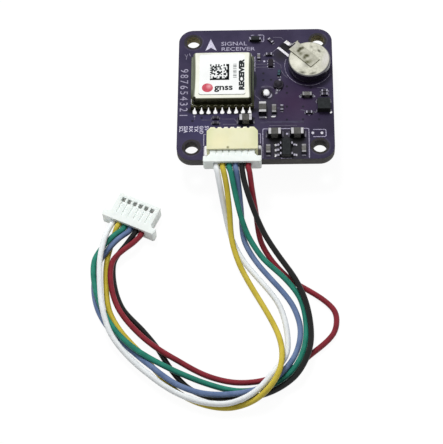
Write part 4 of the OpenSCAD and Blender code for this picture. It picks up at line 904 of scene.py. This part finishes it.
# soiling and painted shadow on the cell along the lower edge and the end of its strip
grimeAndShadow = {"line": [(5.617, 6.6139), (8.9263, 3.3047), (10.3829, 4.7613)], "width": 0.12, "height": 0.03}
dirtAndShadow = strokes([grimeAndShadow["line"]], grimeAndShadow["width"], grimeAndShadow["height"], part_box("cell_can")[1].z / mm)
joined("stripGrimeAndShadow", [dirtAndShadow], "grimeAndShadow")
print("print made")

# the floor's half width in m, and the strengths of the world and of the paper's own glow
studio = {"floor": 0.6, "world": 0.26, "paper": "#f4f4f4", "glowShare": 0.92, "glow": 1.03, "aim": (-5, -23, 0)}
# square lamps: place and size in mm, power in W
lamps = {"softbox": ((-30, 150, 300), 448, 0.55), "backLamp": ((-50, 130, 270), 70, 0.58)}


def seenRays(tree):
    # 1 for rays that see the background straight, in a gloss or through glass
    path = addNode(tree, "ShaderNodeLightPath")
    share = path.outputs["Is Camera Ray"]
    for kind in ("Is Glossy Ray", "Is Transmission Ray"):
        either = addNode(tree, "ShaderNodeMath", {"operation": "MAXIMUM"}, {0: share, 1: path.outputs[kind]})
        share = either.outputs[0]
    return share


def makeStudio():
    shape = bmesh.new()
    bmesh.ops.create_grid(shape, x_segments=1, y_segments=1, size=studio["floor"])
    floor = newObject("floor", meshOf(shape, "floor"))
    material, tree, shader, _ = newMaterial("white paper", Base_Color=linear(studio["paper"]), Roughness=0.9)
    glow = addNode(tree, "ShaderNodeEmission", {"Color": (1, 1, 1, 1), "Strength": studio["glow"]})
    share = addNode(tree, "ShaderNodeMath", {"operation": "MULTIPLY", 1: studio["glowShare"]}, {0: seenRays(tree)})
    mix = addNode(tree, "ShaderNodeMixShader", links={0: share.outputs[0], 1: shader.outputs[0], 2: glow.outputs[0]})
    tree.links.new(mix.outputs[0], tree.nodes["Material Output"].inputs["Surface"])
    paint(material, floor)
    world = bpy.data.worlds.new("studio")
    bpy.context.scene.world = world
    world.use_nodes = True
    tree = world.node_tree
    dim = tree.nodes["Background"]
    dim.inputs["Color"].default_value = (1, 1, 1, 1)
    dim.inputs["Strength"].default_value = studio["world"]
    white = addNode(tree, "ShaderNodeBackground", {"Color": (1, 1, 1, 1), "Strength": 1.0})
    mix = addNode(tree, "ShaderNodeMixShader", links={0: seenRays(tree), 1: dim.outputs[0], 2: white.outputs[0]})
    tree.links.new(mix.outputs[0], tree.nodes["World Output"].inputs["Surface"])
    for name, (place, size, power) in lamps.items():
        data = bpy.data.lights.new(name, "AREA")
        data.size = size * mm
        data.energy = power
        lamp = newObject(name, data)
        lamp.location = Vector(place) * mm
        lamp.rotation_euler = (Vector(studio["aim"]) * mm - lamp.location).to_track_quat("-Z", "Y").to_euler()
        lamp.visible_glossy = False


makeStudio()
print("studio made")
bpy.context.scene.view_settings.view_transform = "Standard"
bpy.context.view_layer.update()
